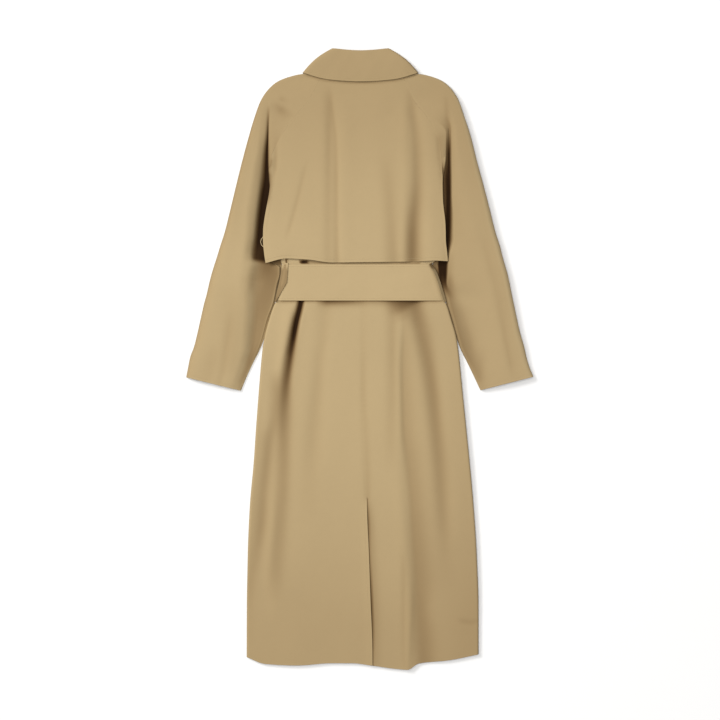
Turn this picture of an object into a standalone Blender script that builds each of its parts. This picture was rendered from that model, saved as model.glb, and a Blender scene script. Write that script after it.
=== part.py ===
"""A long belted trench coat, laid flat on its front with its back up.

X runs across the coat (the wearer's left side is at -X), +Y runs to the collar and +Z runs up,
away from the surface that the coat lies on. Sizes are in millimetres. Each mesh is scaled to
metres as it is made. The layers from the surface up are: the belt's front and the collar's front
leaves, the right front, the buttons, the left front, the two backs, the storm flap, and the
belt's back. The sleeves lie beside the body.
"""
import math

import bpy
import bmesh
from mathutils import Vector

MM = 0.001

# Walls and clearances
CLOTH = 1.2            # one panel of coating cloth with its seam allowances
DOUBLE_CLOTH = 1.5     # belt and collar, which are turned through and pressed
SEAM_GAP = 0.3         # between the edges of two panels that are sewn together
LAY_GAP = 0.4          # between a panel and a piece that lies on it
ARMHOLE_GAP = 0.8      # between a sleeve and the panels it is sewn to, measured along X

# Lengths
CENTRE_X = 1.0         # middle of the collar and centre front
NECK_Y = 573.0         # back neck seam
VENT_TOP_Y = -277.7
VENT_UNDERLAP = 40.0   # how far the right back runs on under the left back
HEM_Y = -600.0         # about where the hem runs, for reading the edges there
FRONT_LAP = 60.0       # how far each front runs past the centre front
FRONT_HEM_RISE = 7.0   # the front hem lies this far inside the back hem
EDGE_ROLL = 16.0       # width over which a back panel rolls down to its side seam
FLAP_HEM_LIFT = 4.4    # how far the flap's hem stands off the back
FLAP_LIFT_RAMP = (300, 195)      # y where the flap starts to lift and where it is fully lifted
FLAP_FOLD_RAMP = (195, 235)      # y below which the back has none of the flap's folds

# Buttons, under the covered fastening
BUTTON_HEIGHT = 2.0
BUTTON_SIDES = 16
BUTTON_YS = (387.0, 292.0, 27.0, -88.0, -203.0)
# radius and height: the face, the rim and the shallow hollow under it
BUTTON_PROFILE = ((0, BUTTON_HEIGHT), (9.5, BUTTON_HEIGHT), (10, 1.4), (8.8, 0), (7, 0.5), (0, 0.5))

# Belt: one strip from its upper front end round the left side, the back and the right side
BELT_ROWS = (189, 171, 153, 135, 117)      # y of its lengthwise lines
BELT_LIFT = 0.6                            # between the belt and the backs
BELT_FLAT_HALF = 110.0                     # half of the stretch that is level across its width
BELT_TURN = ((-3.0, 6.6), (-3.3, 3.4), (-2.6, 0.7), (-1.2, 0))   # past the side seam, and height
BELT_END_OVER = 45.0                       # x of the end that lies over
BELT_END_UNDER = -20.0                     # x of the end that lies under
BELT_LAP_RAMP = (-58.0, -44.0, -30.0)      # x of the rise of the upper end on to the lower one
LOOP_OVERHANG = 1.6                        # how far a belt loop runs past the belt's edges
LOOP_TUCK = 1.0                            # and then down to the back
LOOP_CLEARANCE = 2.6                       # between a loop's ends and the back

# Rises of the fronts and sleeves over what lies between them and the surface
COLLAR_RISE = DOUBLE_CLOTH + LAY_GAP + 0.1
COLLAR_RAMP = (400, 460)                   # y where the rise over the collar starts and is whole
BELT_RISE = DOUBLE_CLOTH + SEAM_GAP
BELT_LOW_RAMP = (84, 106)
BELT_TOP_RAMP = (232, 200)
LAP_LEFT_RAMP = (-100, -70)                # x between which the belt's second layer is climbed
LAP_RIGHT_RAMP = (90, 60)
BUTTON_RISE = CLOTH + SEAM_GAP + BUTTON_HEIGHT + SEAM_GAP
BUTTON_RAMP = (-88, -64)


def table(columns, rows):
    """A table as a dictionary from column name to the list of its values."""
    names = columns.split()
    return {name: [row[i] for row in rows] for i, name in enumerate(names)}


# Edges of the back panels: the raglan seams down to y = 237, then the side seams.
# drop is how far the edge comes down from the panel's level to the front's side seam, 0 to 1.
BODY = table("y left right drop", [
    (573, -72, 76, 0), (553, -83, 91, 0), (517, -103, 107, 0), (477, -136, 138, 0),
    (437, -162, 156, 0), (397, -178, 163, 0), (357, -179, 163, 0), (317, -179, 163, 0.05),
    (277, -174, 161, 0.2), (237, -167, 157, 0.6), (205, -158, 154, 1), (189, -151.8, 140, 1),
    (171, -154, 150, 1), (153, -157.5, 156.5, 1), (135, -161.5, 162, 1), (117, -165, 167.5, 1),
    (109, -170, 172, 1), (81, -180, 181, 1), (45, -189.6, 191, 1), (17, -194, 195, 1),
    (-63, -201, 203, 1), (-143, -207, 211, 1), (-203, -211, 217, 1), (-293, -219, 225, 1),
    (-383, -223, 231, 1), (-503, -225, 235, 1), (-620, -225.4, 235, 1)])

# Raglan seams of the fronts, from the neck to the underarm.
FRONT_SEAM = table("y left right", [
    (553, -73, 79), (517, -87, 91), (477, -111, 115), (437, -131, 135), (397, -147, 146),
    (357, -158, 153), (317, -165, 157), (277, -168, 158), (237, -167, 157)])

# Height of the backs' underside along the coat.
LEVEL = table("y level", [
    (573, 14.5), (517, 13.2), (437, 12.4), (317, 12), (237, 11), (193, 9.6), (153, 9.4),
    (117, 9.4), (77, 10.1), (-3, 10.6), (-123, 10.6), (-283, 9.8), (-443, 8.6), (-563, 7.4),
    (-620, 6.6)])

CENTRE_BACK = table("y x", [
    (573, 1), (317, 3), (117, 7), (-57, 6.2), (-278, 14.4), (-383, 19), (-575, 25.6), (-620, 25.6)])

BACK_HEM = table("x y", [
    (-226, -595), (-189, -608.5), (-127, -611.5), (-55, -607), (-17, -607), (25, -612),
    (73, -618.5), (95, -620), (117, -608), (179, -601), (235, -589.7)])

FRONT_NECK = table("x y", [
    (-73, 553), (-59, 537), (-35, 505), (-15, 495), (1, 491), (17, 495), (37, 505), (61, 537),
    (79, 553)])

# Free side edges of the storm flap, below the raglan seams, and how far they droop.
FLAP_EDGE = table("y left right droop", [
    (397, -178, 163, 0), (357, -184.4, 165.4, 0), (317, -189, 167, 0.1), (277, -192.2, 168.6, 0.6),
    (237, -192.2, 171, 1.2), (192, -188.2, 175, 1.6)])

FLAP_HEM = table("x y", [
    (-188.2, 192), (-147, 201), (-105, 199), (-55, 193), (1, 193.7), (119, 195.3), (175, 195.7)])

# Folds of the backs and the storm flap: a line through three places, with a height (less than 0
# for a valley), the spread to each side, and the length over which each end dies away.
FOLD_COLUMNS = ("name x_top y_top x_mid y_mid x_low y_low height spread_left spread_right"
                " fade_top fade_low").split()
SKIRT_FOLDS = [dict(zip(FOLD_COLUMNS, row)) for row in [
        ("pleat", -124, 135, -145, -33, -147, -215, -6.0, 7, 13, 26, 150),
        ("pleat_ridge", -142, 112, -158, -33, -160, -200, 2.6, 9, 6, 20, 100),
        ("left_soft", -71, 118, -83, -33, -97, -260, -2.6, 17, 20, 30, 90),
        ("left_low", -157, -110, -195, -343, -179, -520, -2.6, 14, 16, 60, 60),
        ("left_low_ridge", -139, -200, -173, -363, -163, -560, 1.8, 16, 20, 80, 80),
        ("right_main", 77, 122, 91, -163, 125, -620, -4.4, 11, 18, 12, 60),
        ("right_ridge", 74, -180, 90, -403, 97, -700, 2.4, 15, 10, 120, 10),
        ("right_second", 117, 112, 149, -83, 173, -400, -3, 16, 18, 20, 120),
        ("hem_left", -120, -480, -124, -560, -127, -700, 1.6, 30, 34, 90, 10)]]
FLAP_FOLDS = [dict(zip(FOLD_COLUMNS, row)) for row in [
        ("left", -53, 540, -55, 357, -51, 150, -3, 15, 14, 90, 20),
        ("left_ridge", -29, 540, -29, 357, -27, 150, 1.4, 12, 16, 90, 20),
        ("middle", 57, 540, 61, 357, 59, 150, -1.3, 13, 13, 60, 20),
        ("right_ridge", 87, 540, 89, 357, 85, 150, 1.6, 10, 8, 60, 20),
        ("right", 103, 545, 117, 337, 107, 150, -4.2, 12, 12, 70, 14),
        ("outer_ridge", 137, 500, 143, 337, 141, 150, 1.4, 12, 12, 60, 20)]]

# Places of the back panels' lengthwise lines, as shares of the width from side to centre back.
LEFT_LINES = (0, 0.035, 0.10, 0.20, 0.255, 0.30, 0.37, 0.46, 0.56, 0.66, 0.77, 0.88, 1)
RIGHT_LINES = (1, 0.965, 0.90, 0.82, 0.74, 0.66, 0.58, 0.5, 0.42, 0.33, 0.25, 0.16, 0.045, 0)
FRONT_LINES = (0, 0.06, 0.2, 0.36, 0.52, 0.66, 0.74, 0.80, 0.9, 1)

SEAM_ROWS = [553, 517, 477, 437, 397, 357, 317, 277, 237]
BACK_ROWS = [NECK_Y] + SEAM_ROWS + [
    205, 189, 171, 153, 135, 117, 109, 96, 81, 62, 40, 10, -30, -75, -125, -180, -235,
    VENT_TOP_Y, -330, -390, -450, -510, -565]
FRONT_ROWS = SEAM_ROWS + [205, 189, 153, 117, 107, 84, 45, 17, -63, -143, -230, -320, -420, -520]

# Sleeves, from the neck to the cuff. Rows down to the armhole end (None) start at the raglan
# seams. The others give the place of the underarm seam. outer is the far edge.
SLEEVE_LEFT = table("inner_x inner_y outer_x outer_y crease_x", [
    (None, 573, -99, 573, -86), (None, 563, -113, 568.4, -92), (None, 553, -127, 566, -97),
    (None, 517, -165, 552.3, -121),
    (None, 477, -194, 521.3, -152), (None, 437, -209, 483.3, -172), (None, 397, -221, 443.3, -186),
    (None, 357, -233, 399.3, -191), (None, 317, -245, 351.3, -196), (None, 277, -257, 301.3, -200),
    (None, 237, -269, 253.3, -202), (-160.6, 205, -278, 225.3, -196),
    (-158.6, 177, -288, 193.3, -176), (-163.8, 149, -297, 163.3, -181),
    (-170.2, 116, -306, 125.3, -187), (-182.4, 81, -315, 89.3, -199),
    (-192.2, 45, -323, 53.3, -208), (-201, 19, -330, 25.3, -216), (-215, -9, -338, 3.3, -229),
    (-227, -35, -342, -16.7, -240), (-238, -61, -345.5, -34.7, -250)])

SLEEVE_RIGHT = table("inner_x inner_y outer_x outer_y crease_x", [
    (None, 573, 102, 573, 90), (None, 563, 116, 568.4, 97), (None, 553, 131, 566, 104),
    (None, 517, 167, 552.3, 126),
    (None, 477, 194, 521.3, 152), (None, 437, 208, 483.3, 171), (None, 397, 221, 443.3, 175),
    (None, 357, 232, 399.3, 172), (None, 317, 245, 351.3, 172), (None, 277, 258, 301.3, 173),
    (None, 237, 270, 253.3, 176), (160.5, 205, 279, 225.3, 178), (162, 177, 287, 193.3, 174),
    (166, 149, 295, 163.3, 178), (173.4, 116, 303.4, 125.3, 187),
    (183.6, 81, 311, 89.3, 199), (193.6, 45, 319, 53.3, 209), (202, 19, 327, 25.3, 217),
    (216, -9, 332, 3.3, 230), (228.6, -35, 338, -16.7, 242), (241, -61.7, 345.5, -34.7, 253)])

# Heights of both sleeves' outer side, row for row with the tables above: over the seam (counted
# from the back's own edge down to the armhole's end), along the crease beside it and along the
# crown, whose place is a share of the width.
SLEEVE_HEIGHTS = table("seam crease crown_at crown", [
    (0.6, 15.9, 0.60, 14.5), (0.6, 15.4, 0.60, 14.8), (0.6, 15.0, 0.60, 15.0),
    (0.6, 14.0, 0.58, 16), (0.6, 12.2, 0.60, 17), (0.4, 10.0, 0.62, 17.8), (0, 8.4, 0.62, 18.4),
    (0, 7.2, 0.62, 18.8), (-0.2, 6.4, 0.62, 19.2), (-0.2, 5.6, 0.62, 19.4),
    (0.2, 5.2, 0.62, 19.6), (3.0, 6.2, 0.60, 19.6), (2.7, 7.4, 0.58, 19.4), (2.7, 8.2, 0.56, 19),
    (2.7, 8.6, 0.55, 18.4), (2.7, 8.6, 0.54, 17.6), (2.7, 8.6, 0.54, 16.8),
    (2.7, 8.4, 0.53, 16), (2.7, 8, 0.53, 15), (2.7, 7.6, 0.52, 14), (2.7, 7.2, 0.52, 13)])

# Lines along a sleeve: shares of the way from the inner seam to the crease, on to the crown and on
# to the outer edge, then back under it as shares of the width with a height.
TO_CREASE_LINES = (0.14, 0.56, 1)
TO_CROWN_LINES = (0.33, 0.67, 1)
TO_EDGE_LINES = (0.35, 0.6, 0.8, 0.93, 1)
UNDER_LINES = ((0.985, 0.7), (0.95, 0), (0.78, 0), (0.55, 0), (0.3, 0), (0.1, 0), (0, 0))
CROWN_START = 0.12     # how far the rise to the crown has begun where it leaves the crease
CROWN_ROUNDNESS = 2.3
SLEEVE_EDGE_HEIGHT = 3.4
HEAD_SLOPE = 0.6       # rise of the sleeve's front neck end for each mm of its back one

# Half of the collar, from its front point round the side of the neck to the centre back: the
# roll line, the fall's edge and the stand's neck seam. Heights are of the outer side.
COLLAR = table("roll_x roll_y roll_z edge_x edge_y edge_z seam_x seam_y seam_z", [
    (-15, 523, 0, -59, 473, 0, -17, 498, 1.9),
    (-37, 565, 0, -93, 521, 0, -57, 541, 1.9),
    (-53, 607, 0, -112, 566, 0, -74, 569, 1.9),
    (-56.6, 617.3, 2.6, -114.6, 571.4, 3, -88, 577, 4.2),
    (-57.6, 619.6, 9.8, -115.4, 572.1, 9.8, -97, 581, 9.0),
    (-56.2, 619.9, 16.6, -113.4, 571.9, 16.6, -92, 580, 13.6),
    (-51, 619.3, 20.3, -107, 568.9, 20.1, -72, 574, 16.3),
    (-29, 616.7, 21, -67, 558.3, 20.5, -29, NECK_Y + SEAM_GAP, 16.5),
    (0, 615.1, 21.2, 0, 553.9, 20.7, 0, NECK_Y + SEAM_GAP, 16.5)])
COLLAR_STEPS = 3                 # rows between two stations of the table
FALL_LINES = (0, 0.3, 0.65, 1)   # shares of the way from the roll line to the edge
FALL_PUFF = 1.4                  # how far the fall puffs up over the back of the neck
FALL_PUFF_RAMP = (2, 22)         # height of the roll line where the puff starts and is whole
STAND_LINES = (0, 0.5, 1)

# The thread loop on the storm flap: a place along its left edge and how far outside it.
FLAP_LOOP = table("y out", [(244, 1), (239.5, 4.6), (234, 6.2), (228, 4.6), (223.5, 1)])
THREAD_RADIUS = 0.7
THREAD_SIDES_STEP = 2            # gives the thread eight sides

# Finishes: the cloth's colour, how light each sort of piece is beside the backs, and the buttons.
COAT_BEIGE = (0.47, 0.365, 0.215)
TINT = {"back": 1.0, "flap": 1.02, "front": 0.92, "sleeve": 0.97, "fall": 0.94, "stand": 0.9,
        "belt": 1.06, "loop": 1.0}
CLOTH_ROUGHNESS = 0.85
BUTTON_BROWN = (0.16, 0.1, 0.05)
BUTTON_ROUGHNESS = 0.35


# ---------------------------------------------------------------- working out heights and lines

def ease(share):
    """0 below 0, 1 above 1 and a smooth step between."""
    share = min(max(share, 0.0), 1.0)
    return share * share * (3 - 2 * share)


def ramp(place, limits):
    """0 before the first limit, 1 past the second one, whichever way they run."""
    start, end = limits
    return ease((place - start) / (end - start))


def read(source, column, place, key="y"):
    """A column's value at a place along the table, on a smooth curve that keeps within its rows."""
    places = source[key]
    values = source[column]
    if places[0] > places[-1]:
        places = places[::-1]
        values = values[::-1]
    if place <= places[0]:
        return values[0]
    if place >= places[-1]:
        return values[-1]
    i = max(k for k in range(len(places) - 1) if places[k] <= place)
    slopes = [(values[k + 1] - values[k]) / (places[k + 1] - places[k])
              for k in range(len(places) - 1)]

    def tangent(k):
        if k == 0 or k == len(places) - 1:
            return slopes[min(k, len(slopes) - 1)]
        before = slopes[k - 1]
        after = slopes[k]
        return 0.0 if before * after <= 0 else 2 * before * after / (before + after)

    step = places[i + 1] - places[i]
    t = (place - places[i]) / step
    return (values[i] * (1 + 2 * t) * (1 - t) ** 2 + values[i + 1] * t * t * (3 - 2 * t)
            + step * (tangent(i) * t * (1 - t) ** 2 - tangent(i + 1) * t * t * (1 - t)))


def fold_height(fold, x, y):
    """What one fold adds to the height of the back at a place."""
    enter = ease((fold["y_top"] - y) / fold["fade_top"])
    leave = ease((y - fold["y_low"]) / fold["fade_low"])
    if enter * leave == 0:
        return 0.0
    along = (fold["y_top"] - y) / (fold["y_top"] - fold["y_low"])
    middle = (fold["y_top"] - fold["y_mid"]) / (fold["y_top"] - fold["y_low"])
    straight = fold["x_top"] + (fold["x_low"] - fold["x_top"]) * along
    at_middle = fold["x_top"] + (fold["x_low"] - fold["x_top"]) * middle
    bow = (fold["x_mid"] - at_middle) / (middle * (1 - middle))
    away = x - straight - bow * along * (1 - along)
    spread = fold["spread_left"] if away < 0 else fold["spread_right"]
    return fold["height"] * enter * leave * math.exp(-(away / spread) ** 2)


def collar_rise(y):
    """How far the fronts and the sleeves rise over the collar's front leaves."""
    return COLLAR_RISE * ramp(y, COLLAR_RAMP)


def belt_rise(y):
    """How far the fronts rise over one layer of the belt's front."""
    return BELT_RISE * ramp(y, BELT_LOW_RAMP) * ramp(y, BELT_TOP_RAMP)


def back_height(x, y):
    """The underside of the back panels."""
    level = read(LEVEL, "level", y)
    drop = read(BODY, "drop", y)
    edge = level + drop * (collar_rise(y) + belt_rise(y) + CLOTH + SEAM_GAP - level)
    inside = min(x - read(BODY, "left", y), read(BODY, "right", y) - x)
    share = min(max(inside / EDGE_ROLL, 0.0), 1.0)
    roll = math.sqrt(1 - (1 - share) ** 2)
    folds = sum(fold_height(fold, x, y) for fold in SKIRT_FOLDS)
    folds += sum(fold_height(fold, x, y) for fold in FLAP_FOLDS) * ramp(y, FLAP_FOLD_RAMP)
    return edge + (level - edge) * roll + folds * (1 - drop * (1 - roll))


def flap_height(x, y):
    """The underside of the storm flap. It lifts off the back towards its hem."""
    lift = CLOTH + LAY_GAP + FLAP_HEM_LIFT * ramp(y, FLAP_LIFT_RAMP)
    return read(LEVEL, "level", y) + lift + sum(fold_height(fold, x, y) for fold in FLAP_FOLDS)


def front_edge(side, y):
    """The outer edge of a front panel: its raglan seam, then its side seam."""
    if y >= SEAM_ROWS[-1]:
        return read(FRONT_SEAM, side, y)
    return read(BODY, side, y)


# ------------------------------------------------------------------------------- making a piece

def material(name, colour, roughness):
    """A plain cloth or horn finish."""
    finish = bpy.data.materials.new(name)
    finish.use_nodes = True
    shader = finish.node_tree.nodes["Principled BSDF"]
    shader.inputs["Base Color"].default_value = (*colour, 1)
    shader.inputs["Roughness"].default_value = roughness
    shader.inputs["Metallic"].default_value = 0.0
    finish.diffuse_color = (*colour, 1)
    return finish


def place(name, mesh, colour, roughness):
    """An object in the coat's collection, with a finish of its own."""
    mesh.materials.append(material(name + "_finish", colour, roughness))
    piece = bpy.data.objects.new(name, mesh)
    coat.objects.link(piece)
    return piece


def cloth(name, rows, wall, outward, sort, keep=None):
    """A panel from rows of points, each row as long as the next, joined by a grid of faces.

    Seen from the side that the faces look to, a row runs left to right and the next row lies
    below it. outward is 1 where the wall grows to that side and -1 where it grows away from it.
    keep tells which faces of the grid are made.
    """
    work = bmesh.new()
    corners = {}

    def corner(i, j):
        if (i, j) not in corners:
            corners[i, j] = work.verts.new(Vector(rows[i][j]) * MM)
        return corners[i, j]

    for i in range(len(rows) - 1):
        for j in range(len(rows[0]) - 1):
            if keep is None or keep(i, j):
                work.faces.new((corner(i, j), corner(i + 1, j),
                                corner(i + 1, j + 1), corner(i, j + 1)))
    mesh = bpy.data.meshes.new(name)
    work.to_mesh(mesh)
    work.free()
    mesh.shade_smooth()
    colour = [channel * TINT[sort] for channel in COAT_BEIGE]
    piece = place(name, mesh, colour, CLOTH_ROUGHNESS)
    shell = piece.modifiers.new("Wall", "SOLIDIFY")
    shell.thickness = wall * MM
    shell.offset = outward
    shell.use_even_offset = True
    return piece


def moved_out(rows, distance):
    """Rows of points moved along the normals of their own grid."""
    result = []
    for i, row in enumerate(rows):
        moved = []
        for j, point in enumerate(row):
            left = Vector(row[max(j - 1, 0)])
            right = Vector(row[min(j + 1, len(row) - 1)])
            above = Vector(rows[max(i - 1, 0)][j])
            below = Vector(rows[min(i + 1, len(rows) - 1)][j])
            normal = (right - left).cross(above - below).normalized()
            moved.append(Vector(point) + normal * distance)
        result.append(moved)
    return result


# ------------------------------------------------------------------------------------- the body

def centre_back(y):
    return read(CENTRE_BACK, "x", y)


def back_rows(side):
    """Rows of points on the underside of one back panel, from the neck to the hem."""
    lines = LEFT_LINES if side == "left" else RIGHT_LINES[::-1]
    gap = -SEAM_GAP / 2 if side == "left" else SEAM_GAP / 2
    rows = []
    for y in BACK_ROWS + [None]:
        at = HEM_Y if y is None else y
        edge = read(BODY, side, at)
        middle = centre_back(at) + gap
        xs = [edge + (middle - edge) * share for share in lines]
        ys = [read(BACK_HEM, "y", x, "x") if y is None else y for x in xs]
        rows.append([(x, v, back_height(x, v)) for x, v in zip(xs, ys)])
    return rows if side == "left" else [row[::-1] for row in rows]


def make_backs():
    cloth("back_left", back_rows("left"), CLOTH, 1, "back")
    rows = back_rows("right")
    vent_row = BACK_ROWS.index(VENT_TOP_Y)
    step_down = CLOTH + LAY_GAP
    full = []
    for i, row in enumerate(rows):
        x, y, z = row[0]
        underlap = [(x - reach, read(BACK_HEM, "y", x - reach, "x") if i == len(rows) - 1 else y,
                     back_height(x - reach, y) - step_down)
                    for reach in (VENT_UNDERLAP, VENT_UNDERLAP / 3)]
        first = (x, y, z - step_down) if i >= vent_row else row[0]
        full.append(underlap + [first] + row[1:])
    cloth("back_right", full, CLOTH, 1, "back", keep=lambda i, j: j >= 2 or i >= vent_row)


def flap_rows():
    """The flap lies on both backs, on their own lines, and runs past their raglan seams."""
    left = back_rows("left")
    right = back_rows("right")
    last_shared = len(SEAM_ROWS)
    rows = []
    for i, at in enumerate(BACK_ROWS[:last_shared + 1] + [None]):
        y = FLAP_EDGE["y"][-1] if at is None else at
        shared = min(i, last_shared)
        xs = [point[0] for point in left[shared] + right[shared][1:]]
        droop = 0.0
        if y < FLAP_EDGE["y"][0]:
            xs[0] = read(FLAP_EDGE, "left", y)
            xs[-1] = read(FLAP_EDGE, "right", y)
            droop = read(FLAP_EDGE, "droop", y)
        ys = [read(FLAP_HEM, "y", x, "x") if at is None else y for x in xs]
        rows.append([(x, v, flap_height(x, v) - (droop if x in (xs[0], xs[-1]) else 0))
                     for x, v in zip(xs, ys)])
    return rows


def front_rows(side):
    """Rows of points on the underside of one front, from the neck to the hem."""
    toward = 1 if side == "left" else -1
    rows = []
    for y in FRONT_ROWS + [None]:
        at = HEM_Y if y is None else y
        edge = front_edge(side, at)
        free = CENTRE_X + toward * FRONT_LAP
        row = []
        for share in FRONT_LINES:
            x = edge + (free - edge) * share
            v = at
            if y is None:
                v = read(BACK_HEM, "y", x, "x") + FRONT_HEM_RISE
            elif y > SEAM_ROWS[4]:
                neck_x = x if share < FRONT_LINES[6] else CENTRE_X
                neck = read(FRONT_NECK, "y", neck_x, "x") if share > 0 else SEAM_ROWS[0]
                down = (SEAM_ROWS[0] - y) / (SEAM_ROWS[0] - SEAM_ROWS[4])
                v = neck + (SEAM_ROWS[4] - neck) * down
            belt_layers = 1 + ramp(x, LAP_LEFT_RAMP) * ramp(x, LAP_RIGHT_RAMP)
            z = collar_rise(v) + belt_rise(v) * belt_layers
            if side == "left":
                z += BUTTON_RISE * ramp(x, BUTTON_RAMP)
            row.append((x, v, z))
        rows.append(row)
    return rows if side == "left" else [row[::-1] for row in rows]


def make_fronts():
    for side in ("left", "right"):
        cloth("front_" + side, front_rows(side), CLOTH, 1, "front")


def make_buttons():
    """Turned buttons between the two fronts, sewn to the left one."""
    for number, y in enumerate(BUTTON_YS, 1):
        name = "button_%d" % number
        mesh = bpy.data.meshes.new(name)
        mesh.from_pydata([(radius * MM, 0, height * MM) for radius, height in BUTTON_PROFILE],
                         [(i, i + 1) for i in range(len(BUTTON_PROFILE) - 1)], [])
        piece = place(name, mesh, BUTTON_BROWN, BUTTON_ROUGHNESS)
        piece.location = (CENTRE_X * MM, y * MM, (CLOTH + SEAM_GAP) * MM)
        turn = piece.modifiers.new("Turn", "SCREW")
        turn.steps = BUTTON_SIDES
        turn.render_steps = BUTTON_SIDES
        turn.use_merge_vertices = True
        turn.merge_threshold = 0.00001


# ---------------------------------------------------------------------------------- the sleeves

def sleeve_rows(side):
    """Rows round one sleeve: over the top from the inner seam to the outer edge, then under."""
    sizes = SLEEVE_LEFT if side == "left" else SLEEVE_RIGHT
    toward = -1 if side == "left" else 1
    rows = []
    for i, inner_x in enumerate(sizes["inner_x"]):
        y = sizes["inner_y"][i]
        outer = Vector((sizes["outer_x"][i], sizes["outer_y"][i]))
        if inner_x is None:
            shift = toward * ARMHOLE_GAP
            top_start = Vector((read(BODY, side, y) + shift, y))
            front_y = min(y, SEAM_ROWS[0] + HEAD_SLOPE * (y - SEAM_ROWS[0]))
            under_end = Vector((read(FRONT_SEAM, side, front_y) + shift, front_y))
        else:
            top_start = Vector((inner_x, y))
            under_end = top_start
        seam = SLEEVE_HEIGHTS["seam"][i]
        if inner_x is None:
            seam += back_height(read(BODY, side, y), y) + CLOTH
        crease = SLEEVE_HEIGHTS["crease"][i]
        crown = SLEEVE_HEIGHTS["crown"][i]
        crown_at = SLEEVE_HEIGHTS["crown_at"][i]
        crease_at = (sizes["crease_x"][i] - top_start.x) / (outer.x - top_start.x)
        rim = collar_rise(outer.y) + SLEEVE_EDGE_HEIGHT
        row = [(0, seam)]
        for share in TO_CREASE_LINES:
            row.append((crease_at * share,
                        seam + (crease - seam) * ramp(share, (TO_CREASE_LINES[0], 1))))
        for share in TO_CROWN_LINES:
            row.append((crease_at + (crown_at - crease_at) * share,
                        crease + (crown - crease) * ease(CROWN_START + (1 - CROWN_START) * share)))
        for share in TO_EDGE_LINES:
            row.append((crown_at + (1 - crown_at) * share,
                        rim + (crown - rim) * math.sqrt(1 - share ** CROWN_ROUNDNESS)))
        points = [(*top_start.lerp(outer, w), z) for w, z in row]
        for share, lift in UNDER_LINES:
            spot = under_end.lerp(outer, share)
            points.append((*spot, lift + collar_rise(spot.y)))
        rows.append(points)
    return [row[::-1] for row in rows] if side == "left" else rows


def make_sleeves():
    for side in ("left", "right"):
        cloth("sleeve_" + side, sleeve_rows(side), CLOTH, -1, "sleeve")


# ----------------------------------------------------------------------------------- the collar

def collar_line(kind):
    """One line of the collar, whole: the half in the table and its mirror image."""
    half = list(zip(*(COLLAR[kind + axis] for axis in ("_x", "_y", "_z"))))
    whole = half + [(-x, y, z) for x, y, z in half[-2::-1]]
    points = [Vector((x + CENTRE_X, y, z)) for x, y, z in whole]
    last = len(points) - 1
    line = []
    for i in range(last):
        a, b, c, d = (points[min(max(k, 0), last)] for k in (i - 1, i, i + 1, i + 2))
        for step in range(COLLAR_STEPS):
            t = step / COLLAR_STEPS
            smooth = 0.5 * (2 * b + (c - a) * t + (2 * a - 5 * b + 4 * c - d) * t * t
                            + (3 * b - a - 3 * c + d) * t ** 3)
            flat = b.lerp(c, t)
            line.append(Vector((smooth.x, smooth.y, flat.z if b.z == c.z else smooth.z)))
    line.append(points[last])
    for point in line:
        point.z = max(point.z, 0.0)
    return line


def collar_fall_rows():
    """From the roll line out to the edge, puffed a little over the back of the neck."""
    roll = collar_line("roll")
    edge = collar_line("edge")
    rows = []
    for share in FALL_LINES:
        puff = FALL_PUFF * math.sin(math.pi * share)
        rows.append([a.lerp(b, share) + Vector((0, 0, puff * ramp(a.z, FALL_PUFF_RAMP)))
                     for a, b in zip(roll, edge)])
    return rows


def make_collar():
    fall = collar_fall_rows()
    cloth("collar_fall", fall, DOUBLE_CLOTH, -1, "fall")
    roll = moved_out(fall, -(DOUBLE_CLOTH + LAY_GAP))[0]
    seam = collar_line("seam")
    rows = [[a.lerp(b, share) for a, b in zip(roll, seam)] for share in STAND_LINES]
    cloth("collar_stand", rows, DOUBLE_CLOTH, -1, "stand")


# ------------------------------------------------------------------------------- belt and loops

def belt_rows():
    """The belt's outer side, a row for each lengthwise line, and the columns of its back's ends.

    A row runs from the upper front end round the left side, the back and the right side to the
    lower front end.
    """
    top = CLOTH + BELT_LIFT + DOUBLE_CLOTH
    lap = DOUBLE_CLOTH + SEAM_GAP
    ramp_foot, ramp_middle, ramp_head = BELT_LAP_RAMP
    rows = []
    for y in BELT_ROWS:
        left = read(BODY, "left", y)
        right = read(BODY, "right", y)
        middle = centre_back(y)
        row = [(BELT_END_OVER, lap), (CENTRE_X, lap), (ramp_head, lap), (ramp_middle, lap / 2),
               (ramp_foot, 0)]
        floor_left = left + BELT_TURN[-1][0]
        row += [(ramp_foot + (floor_left - ramp_foot) * share, 0) for share in (0.35, 0.7)]
        row += [(left + reach, z) for reach, z in BELT_TURN[::-1]]
        first_back = len(row)
        xs = [left + (middle - left) * share for share in LEFT_LINES[1:]]
        xs += [right + (middle - right) * share for share in RIGHT_LINES[1:-1]]
        row += [(x, back_height(x, BELT_ROWS[2] if abs(x - middle) < BELT_FLAT_HALF else y) + top)
                for x in xs]
        last_back = len(row) - 1
        row += [(right - reach, z) for reach, z in BELT_TURN]
        floor_right = right - BELT_TURN[-1][0]
        row += [(floor_right + (BELT_END_UNDER - floor_right) * share, 0)
                for share in (0.25, 0.5, 0.75, 1)]
        rows.append([(x, y, z) for x, z in row])
    return rows, first_back, last_back


def make_belt():
    rows, first_back, last_back = belt_rows()
    cloth("belt", rows, DOUBLE_CLOTH, -1, "belt")
    over_belt = moved_out(rows, LAY_GAP)
    for side, column in (("left", first_back - 1), ("right", last_back)):
        strip = [[row[column], row[column + 1]] for row in over_belt]
        strip = loop_end(strip[0], 1) + strip + loop_end(strip[-1], -1)[::-1]
        cloth("belt_loop_" + side, strip, CLOTH, 1, "loop")


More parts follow.
